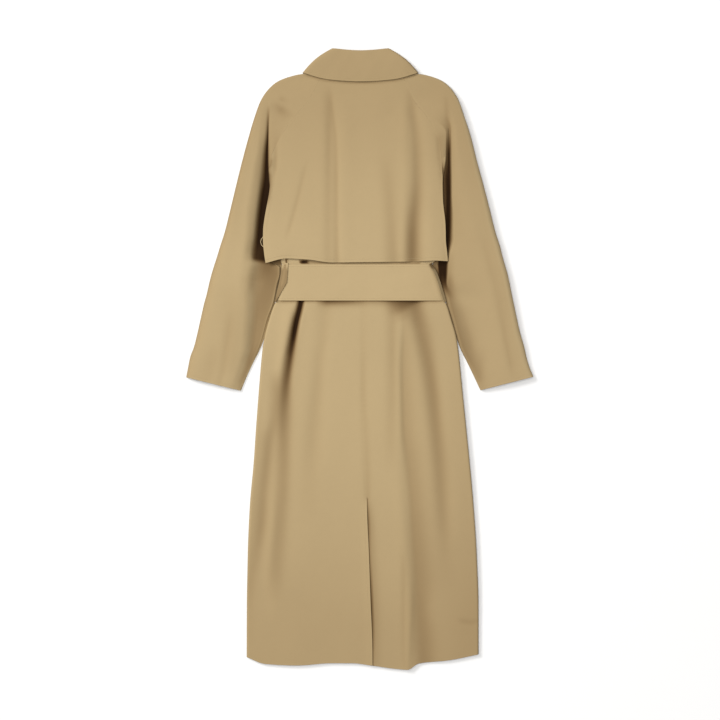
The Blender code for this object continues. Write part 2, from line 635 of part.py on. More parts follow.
def loop_end(edge, out):
    """Two rows past a belt loop's edge: over the belt's edge, and down to just above the back."""
    over = [point + Vector((0, LOOP_OVERHANG * out, 0)) for point in edge]
    down = []
    for point in over:
        y = point.y + LOOP_TUCK * out
        clear = back_height(point.x, y + CLOTH * out) + CLOTH + LOOP_CLEARANCE
        down.append(Vector((point.x, y, min(clear, point.z - LAY_GAP))))
    return [down, over]


def make_flap_loop():
    """A small thread loop at the free left edge of the storm flap."""
    curve = bpy.data.curves.new("flap_loop", "CURVE")
    curve.dimensions = "3D"
    curve.bevel_depth = THREAD_RADIUS * MM
    curve.bevel_resolution = THREAD_SIDES_STEP
    curve.use_fill_caps = True
    line = curve.splines.new("POLY")
    line.points.add(len(FLAP_LOOP["y"]) - 1)
    for point, y, out in zip(line.points, FLAP_LOOP["y"], FLAP_LOOP["out"]):
        edge = read(FLAP_EDGE, "left", y)
        height = flap_height(edge, y) - read(FLAP_EDGE, "droop", y) + CLOTH / 2
        point.co = ((edge - out) * MM, y * MM, height * MM, 1)
    curve.materials.append(material("flap_loop_finish", COAT_BEIGE, CLOTH_ROUGHNESS))
    piece = bpy.data.objects.new("flap_loop", curve)
    coat.objects.link(piece)


for old in list(bpy.data.objects):
    bpy.data.objects.remove(old, do_unlink=True)
coat = bpy.data.collections.new("Trench coat")
bpy.context.scene.collection.children.link(coat)

make_backs()
cloth("storm_flap", flap_rows(), CLOTH, 1, "flap")
make_fronts()
make_buttons()
make_sleeves()
make_collar()
make_belt()
make_flap_loop()
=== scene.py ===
import math

import bpy
import numpy as np
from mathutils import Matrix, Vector


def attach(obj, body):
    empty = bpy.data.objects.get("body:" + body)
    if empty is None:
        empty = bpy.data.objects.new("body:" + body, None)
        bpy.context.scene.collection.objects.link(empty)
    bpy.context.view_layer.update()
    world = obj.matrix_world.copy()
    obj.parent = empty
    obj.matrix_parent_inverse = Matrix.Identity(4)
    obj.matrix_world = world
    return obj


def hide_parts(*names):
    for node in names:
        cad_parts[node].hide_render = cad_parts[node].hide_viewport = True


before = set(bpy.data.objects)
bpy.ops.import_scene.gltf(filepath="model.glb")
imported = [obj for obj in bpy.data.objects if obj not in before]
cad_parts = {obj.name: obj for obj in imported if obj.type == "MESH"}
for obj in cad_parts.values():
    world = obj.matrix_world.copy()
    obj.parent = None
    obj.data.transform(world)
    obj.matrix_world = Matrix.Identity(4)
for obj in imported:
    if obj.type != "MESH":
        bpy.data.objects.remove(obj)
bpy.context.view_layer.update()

# Sizes are in millimetres, as in the coat's pattern. A mesh is scaled to metres as it is made.
# The coat lies on its front: X runs across it, +Y to the collar, +Z up out of its back.
MM = 0.001

# Walls, seams and lie of the pieces
CLOTH = 1.2
DOUBLE_CLOTH = 1.5
SEAM_GAP = 0.3
CENTRE_GAP = 0.1
LAY_GAP = 0.4
ARMHOLE_GAP = 0.15
PITCH = 3.6            # spacing of a cloth's mesh
CENTRE_X = 1.0
NECK_Y = 573.0
VENT_TOP_Y = -277.7
VENT_UNDERLAP = 40.0
FRONT_LAP = 60.0
FRONT_HEM_RISE = 7.0
EDGE_ROLL = 4.0
EDGE_SQUARE = 4.4       # 2 is a round edge, more is a squarer one
FLAP_HEM_LIFT = 4.4
FLAP_LIFT_RAMP = (300, 195)
FLAP_FOLD_RAMP = (195, 235)
SKIRT_RAMP = (128, 112)         # the skirt's creases begin under the belt, their painted shade above it
SKIRT_SHADE_RAMP = (135, 125)
BUTTON_HEIGHT = 2.0

BELT_ROWS = (189, 171, 153, 135, 117)
BELT_LIFT = 0.6
BELT_FLAT_HALF = 110.0
BELT_TURN = ((-3.0, 6.6), (-3.3, 3.4), (-2.6, 0.7), (-1.2, 0))
BELT_END_OVER = 45.0
BELT_END_UNDER = -20.0
BELT_LAP_RAMP = (-58.0, -44.0, -30.0)
LOOP_OVERHANG = 1.6
LOOP_TUCK = 1.0
LOOP_CLEARANCE = 2.6

COLLAR_RISE = DOUBLE_CLOTH + LAY_GAP + 0.1
COLLAR_RAMP = (400, 460)
BELT_RISE = DOUBLE_CLOTH + SEAM_GAP
BELT_LOW_RAMP = (84, 106)
BELT_TOP_RAMP = (232, 200)
LAP_LEFT_RAMP = (-100, -70)
LAP_RIGHT_RAMP = (90, 60)
BUTTON_RISE = CLOTH + SEAM_GAP + BUTTON_HEIGHT + SEAM_GAP
BUTTON_RAMP = (-88, -64)


def table(columns, rows):
    """A table as a dictionary from column name to the list of its values."""
    names = columns.split()
    return {name: [row[i] for row in rows] for i, name in enumerate(names)}


# Edges of the backs: the raglan seams down to y = 237, then the side seams. drop is how far the
# edge comes down to the front's side seam.
BODY = table("y left right drop", [
    (573, -72, 76, 0), (553, -83, 91, 0), (517, -103, 107, 0), (477, -136, 138, 0),
    (437, -162, 156, 0), (397, -178, 163, 0), (357, -179, 163, 0), (317, -179, 163, 0.05),
    (277, -174, 161, 0.2), (237, -167, 157, 0.6), (205, -158, 155.6, 1),
    (192.5, -156.6, 145, 1), (189, -151.8, 140, 1), (171, -154, 150, 1),
    (153, -157.5, 156.5, 1), (135, -161.5, 162, 1), (117, -165, 167.5, 1),
    (109, -170, 172, 1), (81, -180, 181, 1), (45, -189.6, 191.3, 1), (17, -194, 195.6, 1),
    (-63, -201, 203.8, 1), (-143, -207, 211.9, 1), (-203, -211, 217.9, 1), (-293, -219, 225.9, 1),
    (-383, -223, 231.9, 1), (-503, -225, 235.8, 1), (-620, -225.4, 235.8, 1)])

FRONT_SEAM = table("y left right", [
    (553, -73, 79), (517, -87, 91), (477, -111, 115), (437, -131, 135), (397, -147, 146),
    (357, -158, 153), (317, -165, 157), (277, -168, 158), (237, -167, 157)])

LEVEL = table("y level", [
    (573, 14.5), (517, 13.2), (437, 12.4), (317, 12), (237, 11), (193, 9.6), (153, 9.4),
    (117, 9.4), (77, 10.1), (-3, 10.6), (-123, 10.6), (-283, 9.8), (-443, 8.6), (-563, 7.4),
    (-620, 6.6)])

CENTRE_BACK = table("y x", [
    (573, 1), (317, 3), (117, 7), (-57, 6.2), (-278, 13.4), (-322, 14.6), (-383, 17.4),
    (-483, 21), (-575, 24.6), (-620, 25)])

BACK_HEM = table("x y", [
    (-226, -595), (-189, -608.5), (-127, -611.5), (-55, -607), (-17, -607), (25, -612),
    (73, -618.5), (95, -620), (117, -608), (179, -601), (235, -589.7)])

FRONT_NECK = table("x y", [
    (-73, 553), (-59, 537), (-35, 505), (-15, 495), (1, 491), (17, 495), (37, 505), (61, 537),
    (79, 553)])

FLAP_EDGE = table("y left right droop", [
    (397, -178, 163, 0), (388, -178.6, 163.4, 0), (379, -181.6, 163.6, 0), (374, -181.4, 163.8, 0),
    (366, -179.4, 164.6, 0), (350, -179.2, 164.4, 0), (336, -180.4, 164.6, 0),
    (317, -183.6, 165.2, 0.1), (297, -187.4, 167.2, 0.3), (277, -190.8, 169.6, 0.6),
    (257, -193, 170.6, 0.9), (237, -193.2, 170.9, 1.2), (212, -191, 173.4, 1.5),
    (192, -188.2, 175, 1.6)])

FLAP_HEM = table("x y", [
    (-188.2, 192), (-147, 201), (-105, 199), (-55, 193), (1, 193.7), (119, 195.3), (138, 196.4),
    (150, 196.9), (163, 196.4), (175, 195.7)])

# Large folds, as the pattern has them: a line through three places, a height (less than 0 for a
# valley), the spread to each side, and the length over which each end dies away.
FOLD_COLUMNS = ("x_top y_top x_mid y_mid x_low y_low height spread_left spread_right"
                " fade_top fade_low").split()
SKIRT_FOLDS = [dict(zip(FOLD_COLUMNS, row)) for row in [
        (-142, 112, -158, -33, -160, -200, 1.2, 11, 8, 20, 100),
        (-71, 118, -83, -33, -97, -260, -1.2, 17, 20, 30, 90),
        (-157, -110, -195, -343, -179, -520, -1.2, 14, 16, 60, 60),
        (-139, -200, -173, -363, -163, -560, 0.9, 16, 20, 80, 80),
        (83, 90, 91, -163, 125, -620, -1.8, 13, 19, 150, 60),
        (74, -180, 90, -403, 97, -700, 1.0, 15, 10, 120, 10),
        (101, 124, 145, -83, 173, -400, -1.4, 14, 17, 14, 120),
        (-120, -480, -124, -560, -127, -700, 0.9, 30, 34, 90, 10)]]
FLAP_FOLDS = [dict(zip(FOLD_COLUMNS, row)) for row in [
        (-53, 540, -55, 357, -51, 150, -1.2, 15, 12, 90, 20),
        (-29, 540, -29, 357, -27, 150, 0.6, 12, 16, 90, 20),
        (87, 540, 89, 357, 85, 150, 0.6, 10, 8, 60, 20),
        (103, 545, 117, 337, 107, 150, -1.8, 12, 12, 70, 14),
        (137, 500, 143, 337, 141, 150, 0.6, 12, 12, 60, 20)]]

# Valleys laid in on top of the folds (ridges where deep is less than 0): how deep at full
# strength, how sharp (2 is soft), and the way down the coat. Each place of the way has its x and
# y, the strength there, and the spread to the left and to the right.
# Each valley's strength also paints shade into the cloth's colour; those with little depth are
# mostly painted shade.
SKIRT_VALLEYS = [
    (4, 4, ((-113, 137.3, 1, 7.4, 7), (-121.6, 97.3, 1, 7.2, 7.2), (-125.8, 77.3, 1, 8, 6.4),
        (-129.6, 57.3, 0.88, 7.6, 6), (-137, 21, 0.35, 7, 6), (-142, 1, 0, 7, 5))),
    (5.2, 2.2, ((-119, 107, 0, 8, 6), (-127, 77.3, 0.5, 8.6, 6.6), (-130.2, 57.3, 0.85, 9, 7),
        (-137.4, 17.3, 0.86, 9.4, 8.6), (-143.2, -22.7, 0.74, 10, 8.6),
        (-148.4, -62.7, 0.58, 12, 11),
        (-152, -122.7, 0.36, 13, 15), (-152, -202.7, 0.24, 16, 14), (-158, -322.7, 0.17, 16, 14),
        (-167, -422.7, 0.12, 16, 16), (-171, -492.7, 0, 16, 16))),
    (7, 2, ((-167, -18.7, 0, 12, 12), (-167, -62.7, 0.18, 12, 10), (-171, -122.7, 0.18, 12, 10),
        (-181, -162.7, 0.2, 14, 12), (-185, -202.7, 0.22, 12, 12), (-191, -262.7, 0.2, 12, 12),
        (-195, -322.7, 0.22, 12, 12), (-207, -402.7, 0.1, 12, 12), (-217, -452.7, 0.07, 12, 12),
        (-219, -506.7, 0, 12, 12))),
    (9, 2, ((-64, 145.3, 0.12, 18, 16), (-68, 103.3, 0.07, 16, 16), (-71, 57.3, 0.07, 14, 12),
        (-79, -2.7, 0.07, 12, 10), (-84, -62.7, 0.08, 14, 12), (-92, -142.7, 0.07, 16, 16),
        (-99, -242.7, 0.04, 18, 18), (-103, -342.7, 0, 18, 18))),
    # the next three are mostly painted shadow under the belt's lower edge
    (3, 3, ((94, 133.3, 0.75, 34, 36), (94, 115, 0.68, 34, 36), (95, 108, 0.6, 32, 36),
        (100, 97.3, 0.3, 28, 32), (108, 83, 0.12, 28, 26), (112, 57.3, 0, 26, 26))),
    (0.8, 2, ((-90, 117, 0.02, 10, 10), (-76, 117.2, 0.42, 10, 10), (-66, 117.4, 0.68, 10, 10),
        (-36, 118, 0.66, 10, 10), (-4, 118.6, 0.5, 10, 10), (20, 118.8, 0.28, 10, 10),
        (44, 118.6, 0.3, 10, 10), (90, 118, 0.14, 10, 10), (130, 117.6, 0.05, 10, 10))),
    (0.3, 2, ((-170, 116.6, 0.1, 3, 3), (-150, 116.8, 0.5, 3.4, 3.4), (0, 118.9, 0.55, 3.4, 3.4),
        (150, 117.2, 0.45, 3.4, 3.4), (172, 117, 0.1, 3, 3))),
    (10, 2, ((89, 89.3, 0, 4, 10), (87, 37.3, 0.12, 4, 16), (86, -22.7, 0.15, 5, 22),
        (87, -82.7, 0.17, 5, 26), (89, -142.7, 0.18, 6, 26), (97, -202.7, 0.2, 8, 26),
        (105, -282.7, 0.22, 8, 26), (109, -342.7, 0.24, 9, 28), (116, -442.7, 0.24, 10, 30),
        (121, -502.7, 0.25, 14, 20), (127, -562.7, 0.25, 16, 24), (129, -626.7, 0.25, 16, 24))),
    (7, 2, ((63, 117.3, 0.12, 12, 12), (65, 57.3, 0.12, 12, 10), (65, -42.7, 0.1, 12, 10),
        (63, -142.7, 0.07, 12, 12), (61, -232.7, 0, 12, 12))),
    (8, 1.6, ((85, -372.7, 0, 4.8, 6), (87, -432.7, 0.08, 4.8, 6), (87, -562.7, 0.07, 4.8, 6),
        (89, -618.7, 0.04, 4.8, 6))),
    (9, 2, ((113, 125.3, 0.1, 12, 12), (115, 87.3, 0.3, 13, 18), (122, 57.3, 0.34, 15, 20),
        (132, 17.3, 0.33, 16, 17), (140, -22.7, 0.32, 16, 15), (146, -62.7, 0.31, 16, 14),
        (152, -122.7, 0.27, 16, 14), (159, -202.7, 0.22, 16, 16), (167, -322.7, 0.14, 16, 14),
        (171, -402.7, 0.05, 18, 16), (175, -482.7, 0, 18, 18))),
    (12, 2, ((193, -518.7, 0, 4, 4), (209, -524.7, 0.07, 6, 6), (225, -526.7, 0.07, 6, 6),
        (241, -520.7, 0.02, 4, 4))),
    (5, 2, ((7, 125.3, 0.02, 6, 8), (7, 37.3, 0.04, 6, 8), (7, -58.7, 0.09, 6, 6.8),
        (11, -142.7, 0.07, 8, 8), (15, -222.7, 0.09, 8, 8), (16, -276.7, 0.12, 6, 6))),
    (10, 2, ((-195, -42.7, 0, 8, 8), (-203, -162.7, 0.04, 10, 10), (-211, -322.7, 0.05, 10, 12),
        (-219, -422.7, 0.05, 10, 12), (-221, -562.7, 0.02, 10, 12))),
    (-1.6, 1.6, ((-117, 117.3, 0, 6, 6), (-121, 81.3, 1, 5.2, 8), (-129, 27.3, 0.8, 5.2, 8),
        (-135, -26.7, 0.5, 6, 10), (-137, -82.7, 0, 6, 12))),
    (-1.4, 1.6, ((-133, 117.3, 0, 6, 4.8), (-141, 73.3, 1, 6.8, 4.8), (-151, 17.3, 0.9, 8, 4.8),
        (-161, -26.7, 0.4, 8, 6), (-167, -66.7, 0, 8, 6))),
    (-1, 2, ((-173, -242.7, 0, 10, 8), (-173, -322.7, 1, 10, 8), (-179, -402.7, 0.6, 10, 8),
        (-183, -482.7, 0, 10, 8))),
    (-1.3, 1.8, ((101, -402.7, 0, 10, 6), (101, -482.7, 0.8, 8, 6), (97, -562.7, 1, 8, 6),
        (95, -619.7, 1, 8, 6))),
    (-0.9, 2, ((77, 77.3, 0, 6, 6), (77, -2.7, 1, 6, 6), (79, -122.7, 0.8, 6, 6),
        (83, -222.7, 0, 6, 6)))]
# painted shadow in the gaps that show between the flap's hem and the belt
HEM_GAP_SHADOW = [
    (0.1, 4, ((-117, 193.5, 0.9, 4, 5), (-113, 193.5, 1, 4.4, 6), (-107, 193.5, 0.9, 4, 5))),
    (0.1, 3, ((-146.4, 202, 0.95, 1.8, 1.8), (-147, 189, 0.95, 1.8, 1.8))),
    (0.1, 2, ((-106, 195, 0.5, 3, 3), (-70, 193, 0.5, 2.6, 2.6), (0, 191, 0.4, 2.4, 2.4),
        (119, 192, 0.5, 2.4, 2.4)))]
# and painted shadow on the vent's underlap, darkest along the edge over it
VENT_UNDERLAP_SHADOW = [
    (0.1, 3, ((14.2, -279, 0.6, 3, 2.2), (15.8, -322, 0.75, 3, 2.5), (18.6, -383, 0.6, 3, 2.2),
        (22.3, -483, 0.84, 3, 2.8), (25.2, -560, 0.7, 3, 2.6), (25.8, -612, 0.4, 3, 2.2))),
    (0.1, 2, ((14.6, -290, 0.15, 4, 9), (16.6, -322, 0.22, 4, 11), (20.2, -403, 0.18, 4, 12),
        (23.6, -503, 0.2, 4, 14), (25.8, -612, 0.12, 4, 14)))]
FLAP_VALLEYS = [
    (10, 2, ((-61, 549.3, 0, 12, 6), (-61, 507.3, 0.09, 10, 6), (-61, 437.3, 0.09, 8, 6),
        (-62, 357.3, 0.07, 8, 6), (-62, 277.3, 0.06, 10, 6), (-62, 193.3, 0.07, 10, 6))),
    (10, 1.7, ((-57, 537.3, 0, 6, 4), (-54.4, 497.3, 0.09, 6, 4.4), (-48, 437.3, 0.1, 8, 4),
        (-46.2, 357.3, 0.13, 8, 4), (-46, 277.3, 0.12, 8, 4), (-45, 193.3, 0.15, 8, 4.8))),
    (9, 2, ((99, 545.3, 0, 8, 8), (103, 517.3, 0.07, 8, 8), (105, 497.3, 0.1, 9, 8),
        (111, 457.3, 0.11, 9, 11), (114, 417.3, 0.14, 10, 12), (115, 357.3, 0.19, 12, 13),
        (112, 317.3, 0.27, 13, 14), (107, 277.3, 0.37, 13, 15), (105, 237.3, 0.45, 13, 16),
        (104.6, 193.3, 0.46, 14, 17))),
    (9, 2, ((51, 417.3, 0, 16, 14), (57, 357.3, 0.08, 14, 14), (63, 277.3, 0.12, 14, 14),
        (67, 217.3, 0.16, 16, 12), (69, 193.3, 0.16, 16, 12))),
    (8, 1.7, ((-103, 401.3, 0, 4, 4), (-113, 367.3, 0.06, 4, 4.8), (-125, 317.3, 0.09, 4, 5.2),
        (-139, 267.3, 0.08, 4, 4.8), (-149, 233.3, 0, 4, 4))),
    (6, 2, ((57, 497.3, 0.02, 12, 12), (57, 545.3, 0, 12, 12)))]
# the shoulders, where sleeve and flap share them; the first is a painted shadow under the collar's
# edge
SHOULDER_VALLEYS = [
    (0.1, 2, ((-110, 568, 0.1, 2.6, 2.6), (-104, 566, 0.2, 2.8, 2.8), (-66, 556.4, 0.25, 2.8, 2.8),
        (1, 551.8, 0.25, 2.8, 2.8), (68, 556.4, 0.25, 2.8, 2.8), (106, 566, 0.2, 2.8, 2.8),
        (112, 568, 0.1, 2.6, 2.6))),
    (9, 1.8, ((-157, 529.3, 0, 4, 4), (-159, 501.3, 0.13, 4, 5), (-163, 467.3, 0.1, 4, 5),
        (-167.4, 427.3, 0.08, 4, 4.4), (-168.4, 387.3, 0.15, 4.4, 4), (-173, 361.3, 0.05, 4, 4),
        (-175, 337.3, 0, 4, 4))),
    (9, 1.8, ((154, 457.3, 0, 4, 4), (157, 431.3, 0.13, 4, 6), (159, 405.3, 0.12, 5, 8),
        (163, 377.3, 0.12, 5, 8), (163, 341.3, 0.03, 4, 4), (163, 317.3, 0, 4, 4)))]
# the sleeves; their strongest valleys are mostly painted shade on the inner sides
LEFT_VALLEYS = [
    # mostly painted shade in the crevice and down the sleeve's inner side
    (5, 2.4, ((-187, 193.3, 0.62, 18, 28), (-186, 181.3, 0.58, 24, 34),
        (-182, 157, 0.48, 40, 50), (-188, 137, 0.44, 32, 50), (-196, 117, 0.42, 25, 50),
        (-202, 97, 0.4, 18, 50), (-207, 77, 0.38, 15, 50), (-211, 57, 0.37, 14, 46),
        (-214, 37, 0.37, 12, 44), (-213, 17, 0.4, 13, 30), (-217, -2.7, 0.44, 12, 12),
        (-223, -22.7, 0.4, 10, 8), (-232, -42.7, 0.3, 9, 8), (-239, -60.7, 0.1, 8, 8))),
    (4, 2, ((-250, 157, 0, 22, 18), (-251, 117, 0.05, 24, 20), (-252, 57, 0.08, 24, 18),
        (-255, 7, 0.07, 22, 16), (-262, -42.7, 0, 18, 14))),
    (2, 2, ((-152, 527, 0, 4, 5), (-156, 511, 0.08, 4, 6), (-158, 487, 0.09, 4, 6),
        (-164, 467, 0.05, 4, 6), (-168, 443, 0.06, 4, 6), (-170, 427, 0, 4, 5))),
    (14, 2, ((-259, 97.3, 0, 6, 6), (-262, 57.3, 0.06, 6, 6), (-267, 27.3, 0.07, 6, 6),
        (-273, -18.7, 0.07, 6, 6), (-281, -50.7, 0.06, 6, 6))),
    (6, 2, ((-291, 41.3, 0, 16, 14), (-295, -6.7, 0.06, 16, 12), (-303, -34.7, 0.05, 16, 10))),
    (10, 2, ((-219, 477.3, 0, 6, 6), (-227, 417.3, 0.02, 8, 8), (-243, 317.3, 0.03, 10, 10),
        (-259, 217.3, 0, 10, 10)))]
RIGHT_VALLEYS = [
    (2, 2, ((170, 529, 0, 4, 4), (172, 511, 0.07, 4, 5), (173, 487, 0.09, 4, 6),
        (176, 463, 0.1, 4, 6), (178, 447, 0, 4, 4))),
    # mostly painted shade down the sleeve's inner side
    (5, 2.2, ((177, 201.3, 0.1, 6, 10), (175, 173.3, 0.2, 6, 10), (175, 151.3, 0.4, 6, 12),
        (175, 117.3, 0.44, 8, 18), (185, 77.3, 0.4, 8, 24), (199, 37.3, 0.38, 10, 24),
        (213, -2.7, 0.34, 12, 22), (227, -32.7, 0.22, 12, 20), (235, -56.7, 0.12, 12, 18))),
    (10, 2, ((241, 253.3, 0, 6, 10), (249, 217.3, 0.05, 6, 12), (259, 181.3, 0.06, 6, 16),
        (275, 117.3, 0.06, 6, 16), (289, 37.3, 0.09, 4, 10), (297, -2.7, 0.09, 4, 10),
        (303, -34.7, 0.03, 4, 10))),
    (8, 2, ((249, 27.3, 0, 8, 8), (243, -2.7, 0.05, 8, 8), (239, -38.7, 0.07, 8, 8)))]
SLEEVE_VALLEYS = {"left": SHOULDER_VALLEYS + LEFT_VALLEYS,
                  "right": SHOULDER_VALLEYS + RIGHT_VALLEYS}
# Painted shade for the light's fall-off: how much darker the colour is along the coat and across
# it, as a share
SHADE_ALONG = table("y shade", [
    (620, 0.17), (540, 0.15), (430, 0.1), (350, 0.05), (260, 0.02), (190, 0), (40, 0),
    (-100, 0.01), (-200, 0.02), (-320, 0.05), (-440, 0.1), (-540, 0.14), (-620, 0.15)])
SHADE_ACROSS = table("x shade", [
    (-345, 0.02), (-200, 0), (-150, 0), (60, 0), (150, 0.04), (230, 0.1), (345, 0.09)])

# Sleeves, from the neck to the cuff. Rows down to the armhole end (None) start at the raglan
# seams. The others give the place of the underarm seam, with its height. outer is the far edge.
# Between them a row passes through four places, each an x with a height: the two sides of the
# crevice's floor, the brow beside it and the crown.
# The last two columns are the shade painted into the crevice and at the seam.
SLEEVE_COLUMNS = ("inner_x inner_y outer_x outer_y seam floor_x floor foot_x foot brow_x brow"
                  " crown_x crown hollow seam_hollow")
SLEEVE_LEFT = table(SLEEVE_COLUMNS, [
    (None, 573, -99.8, 574.4, 1.2, -76, 16.2, -80, 16.0, -86, 15.6, -90, 14.8, 0, 0),
    (None, 563, -113.8, 569.8, 1.2, -82, 15.9, -88, 15.5, -96, 15.4, -101, 15.0, 0, 0),
    (None, 553, -127.8, 567.4, 1.2, -88, 15.5, -96, 15.3, -106, 15.3, -112, 15.0, 0, 0),
    (None, 517, -165.8, 553.7, 1.2, -128, 15.1, -140, 15.3, -150, 15.8, -156, 15.4, 0, 0),
    (None, 477, -195.6, 521.3, 1.2, -179, 15.2, -182, 15.2, -186, 15.7, -189, 16.0, 0, 0),
    (None, 437, -210.6, 483.3, 1.2, -183.6, 13, -183.8, 12, -188.6, 15.4, -199.5, 17, 0.8, 0.05),
    (None, 397, -222.6, 443.3, 1.2, -184.3, 6.5, -187.1, 6.0, -194.2, 14.2, -204.5, 18.0, 1, 0.1),
    (None, 357, -234.6, 399.3, 0, -182.6, 4.2, -189.0, 3.8, -199.5, 13.6, -213.0, 18.4, 1, 0.15),
    (None, 317, -246.6, 351.3, 0, -179.0, 3.4, -194.6, 3.4, -204.1, 13.4, -220.0, 18.7, 1, 1),
    (None, 277, -258.6, 301.3, -0.2, -180.1, 3.3, -199.6, 3.3, -209.3, 13.2, -227.0, 19.0, 1, 1),
    (None, 237, -270.6, 253.3, -0.2, -183.8, 3.3, -203.4, 3.4, -213.6, 13.2, -230.0, 19.2, 1, 1),
    (-159.6, 205, -279.6, 225.3, 3, -185, 4.4, -207, 4.6, -218.7, 13.4, -234, 19.2, 0.95, 0.6),
    (-157.8, 194.5, -283.6, 212, 3.1, -186, 6.4, -208, 6.2, -218.8, 14.0, -236, 19.1, 0.92, 0.55),
    (-156.7, 183, -287.6, 199, 3.2, -161, 9.4, -197, 7.4, -219, 15.6, -238, 19.0, 0, 0),
    (-158.0, 171, -291.6, 187, 3.2, -161, 10.4, -200, 7.8, -222, 16.4, -240, 19.0, 0, 0),
    (-162.7, 149, -298.6, 163.3, 3.2, -166.4, 10.8, -203, 8.2, -225, 16.8, -243, 18.8, 0, 0),
    (-169.3, 116, -307.6, 125.3, 3.0, -173, 10.0, -206, 7.8, -228, 16.8, -246, 18.4, 0, 0),
    (-172.6, 106, -310.6, 115, 3.0, -176, 9.6, -206, 7.5, -228, 16.7, -246, 18.3, 0, 0),
    (-181.4, 81, -316.6, 89.3, 2.8, -185.6, 8.4, -207, 6.6, -229, 16.2, -248, 17.8, 0, 0),
    (-190.9, 45, -324.6, 53.3, 2.8, -195.4, 7.0, -211, 6.0, -231, 15.0, -252, 16.8, 0, 0),
    (-201, 19, -331.6, 25.3, 2.8, -204.2, 6.4, -216, 6.6, -234, 14.2, -256, 16, 0, 0),
    (-215, -9, -339.6, 3.3, 2.8, -218, 6.2, -228, 7.8, -243, 13.4, -264, 15, 0, 0),
    (-227, -35, -343.6, -16.7, 2.8, -230, 6.2, -239, 8.6, -252, 12.8, -273, 14, 0, 0),
    (-238.4, -62.6, -347.3, -36, 2.8, -241, 6.2, -249, 8.8, -262, 12, -283, 13, 0, 0)])

SLEEVE_RIGHT = table(SLEEVE_COLUMNS, [
    (None, 573, 102.5, 574.4, 1.2, 80, 16.2, 85, 16.0, 91, 15.6, 95, 14.8, 0, 0),
    (None, 563, 116.5, 569.8, 1.2, 90, 15.8, 96, 15.5, 102, 15.3, 107, 15.0, 0, 0),
    (None, 553, 131.5, 567.4, 1.2, 98, 15.4, 104, 15.3, 112, 15.2, 119, 15.0, 0, 0),
    (None, 517, 167.5, 553.7, 1.2, 116, 15.0, 126, 14.9, 141, 15.4, 151, 15.5, 0, 0),
    (None, 477, 195, 521.3, 1.2, 148, 14.8, 159, 14.6, 170, 15.5, 179, 16.3, 0, 0),
    (None, 437, 209, 483.3, 1.2, 173, 13.6, 178, 10.0, 183, 15.4, 193, 17.4, 0.4, 0.05),
    (None, 397, 222, 443.3, 1.0, 173, 8.6, 177.6, 4.4, 183.5, 14.4, 198, 18.0, 1, 0.1),
    (None, 357, 233, 399.3, 0, 168, 4.6, 178.5, 3.4, 184, 13.6, 208, 18.4, 1, 1),
    (None, 317, 246, 351.3, 0, 169, 3.8, 179, 3.3, 184.5, 13.6, 218, 18.6, 1, 1),
    (None, 277, 259, 301.3, -0.2, 168, 3.6, 178.6, 3.3, 187, 13.4, 228, 18.8, 1, 1),
    (None, 237, 271, 253.3, -0.2, 165, 3.4, 176.6, 3.5, 187.5, 13.2, 238, 19.0, 1, 1),
    (156.4, 205, 280, 225.3, 3.0, 162, 3.4, 173, 4.6, 180, 13.0, 248, 19.0, 1, 1),
    (146, 190, 284, 209, 3.0, 157, 3.3, 172, 4.0, 178, 13.2, 252, 18.9, 1, 0.45),
    (154.3, 171, 290, 187.6, 3.0, 159, 3.2, 171, 3.6, 177, 13.0, 258, 18.8, 1, 0.75),
    (161.0, 152, 295.6, 168, 3.0, 164, 3.2, 170.6, 4.4, 176, 13.0, 264, 18.4, 0.9, 0.9),
    (172.0, 116, 304.4, 125.3, 3.0, 175.6, 8.5, 180, 13.0, 198, 10.8, 273, 18, 0, 0),
    (174.2, 106, 306.6, 115, 3.0, 178, 8.8, 183, 12.9, 201, 10.3, 275, 17.8, 0, 0),
    (182.4, 81, 312, 89.3, 2.8, 186, 9.5, 190, 12.6, 208, 9.2, 280, 17.4, 0, 0),
    (192.4, 45, 320, 53.3, 2.8, 196, 9.5, 200, 11.8, 218, 8.6, 287, 16.6, 0, 0),
    (202, 19, 328, 25.3, 2.8, 204.6, 9.0, 208.6, 11, 226, 8.8, 293, 16, 0, 0),
    (216, -9, 333, 3.3, 2.8, 218.6, 8.4, 222.6, 10, 238, 9.2, 298, 15, 0, 0),
    (228.6, -35, 339, -16.7, 2.8, 231, 7.6, 235, 9, 248, 9.8, 303, 14, 0, 0),
    (241, -61.7, 346.5, -34.7, 2.8, 243.4, 7.4, 247, 8.6, 259, 10, 308, 13, 0, 0)])
# how much of the row's painted crevice shade each of those places takes
PAINTED_SHADE_AT = {"floor": 0.96, "foot": 0.96, "brow": 0.1, "crown": 0.0}

TO_EDGE_LINES = (0.25, 0.5, 0.7, 0.85, 0.93, 0.97, 0.99, 1)
UNDER_LINES = ((0.985, 0.7), (0.95, 0), (0.78, 0), (0.55, 0), (0.3, 0), (0.1, 0), (0, 0))
CROWN_ROUNDNESS = 9.0
SLEEVE_EDGE_HEIGHT = 4.0
HEAD_SLOPE = 0.6
BANK = 2.6                   # from the edge of a crevice's floor to the cloth beside it
LEVEL_SEAM_Y = (380, 400)    # above this the seam lies level with the storm flap
BANK_LOW = 0.3               # how far that cloth has come down, as a share of the way
PLAIN_ABOVE_Y = 470.0        # above this a sleeve runs plainly from its seam to its crown

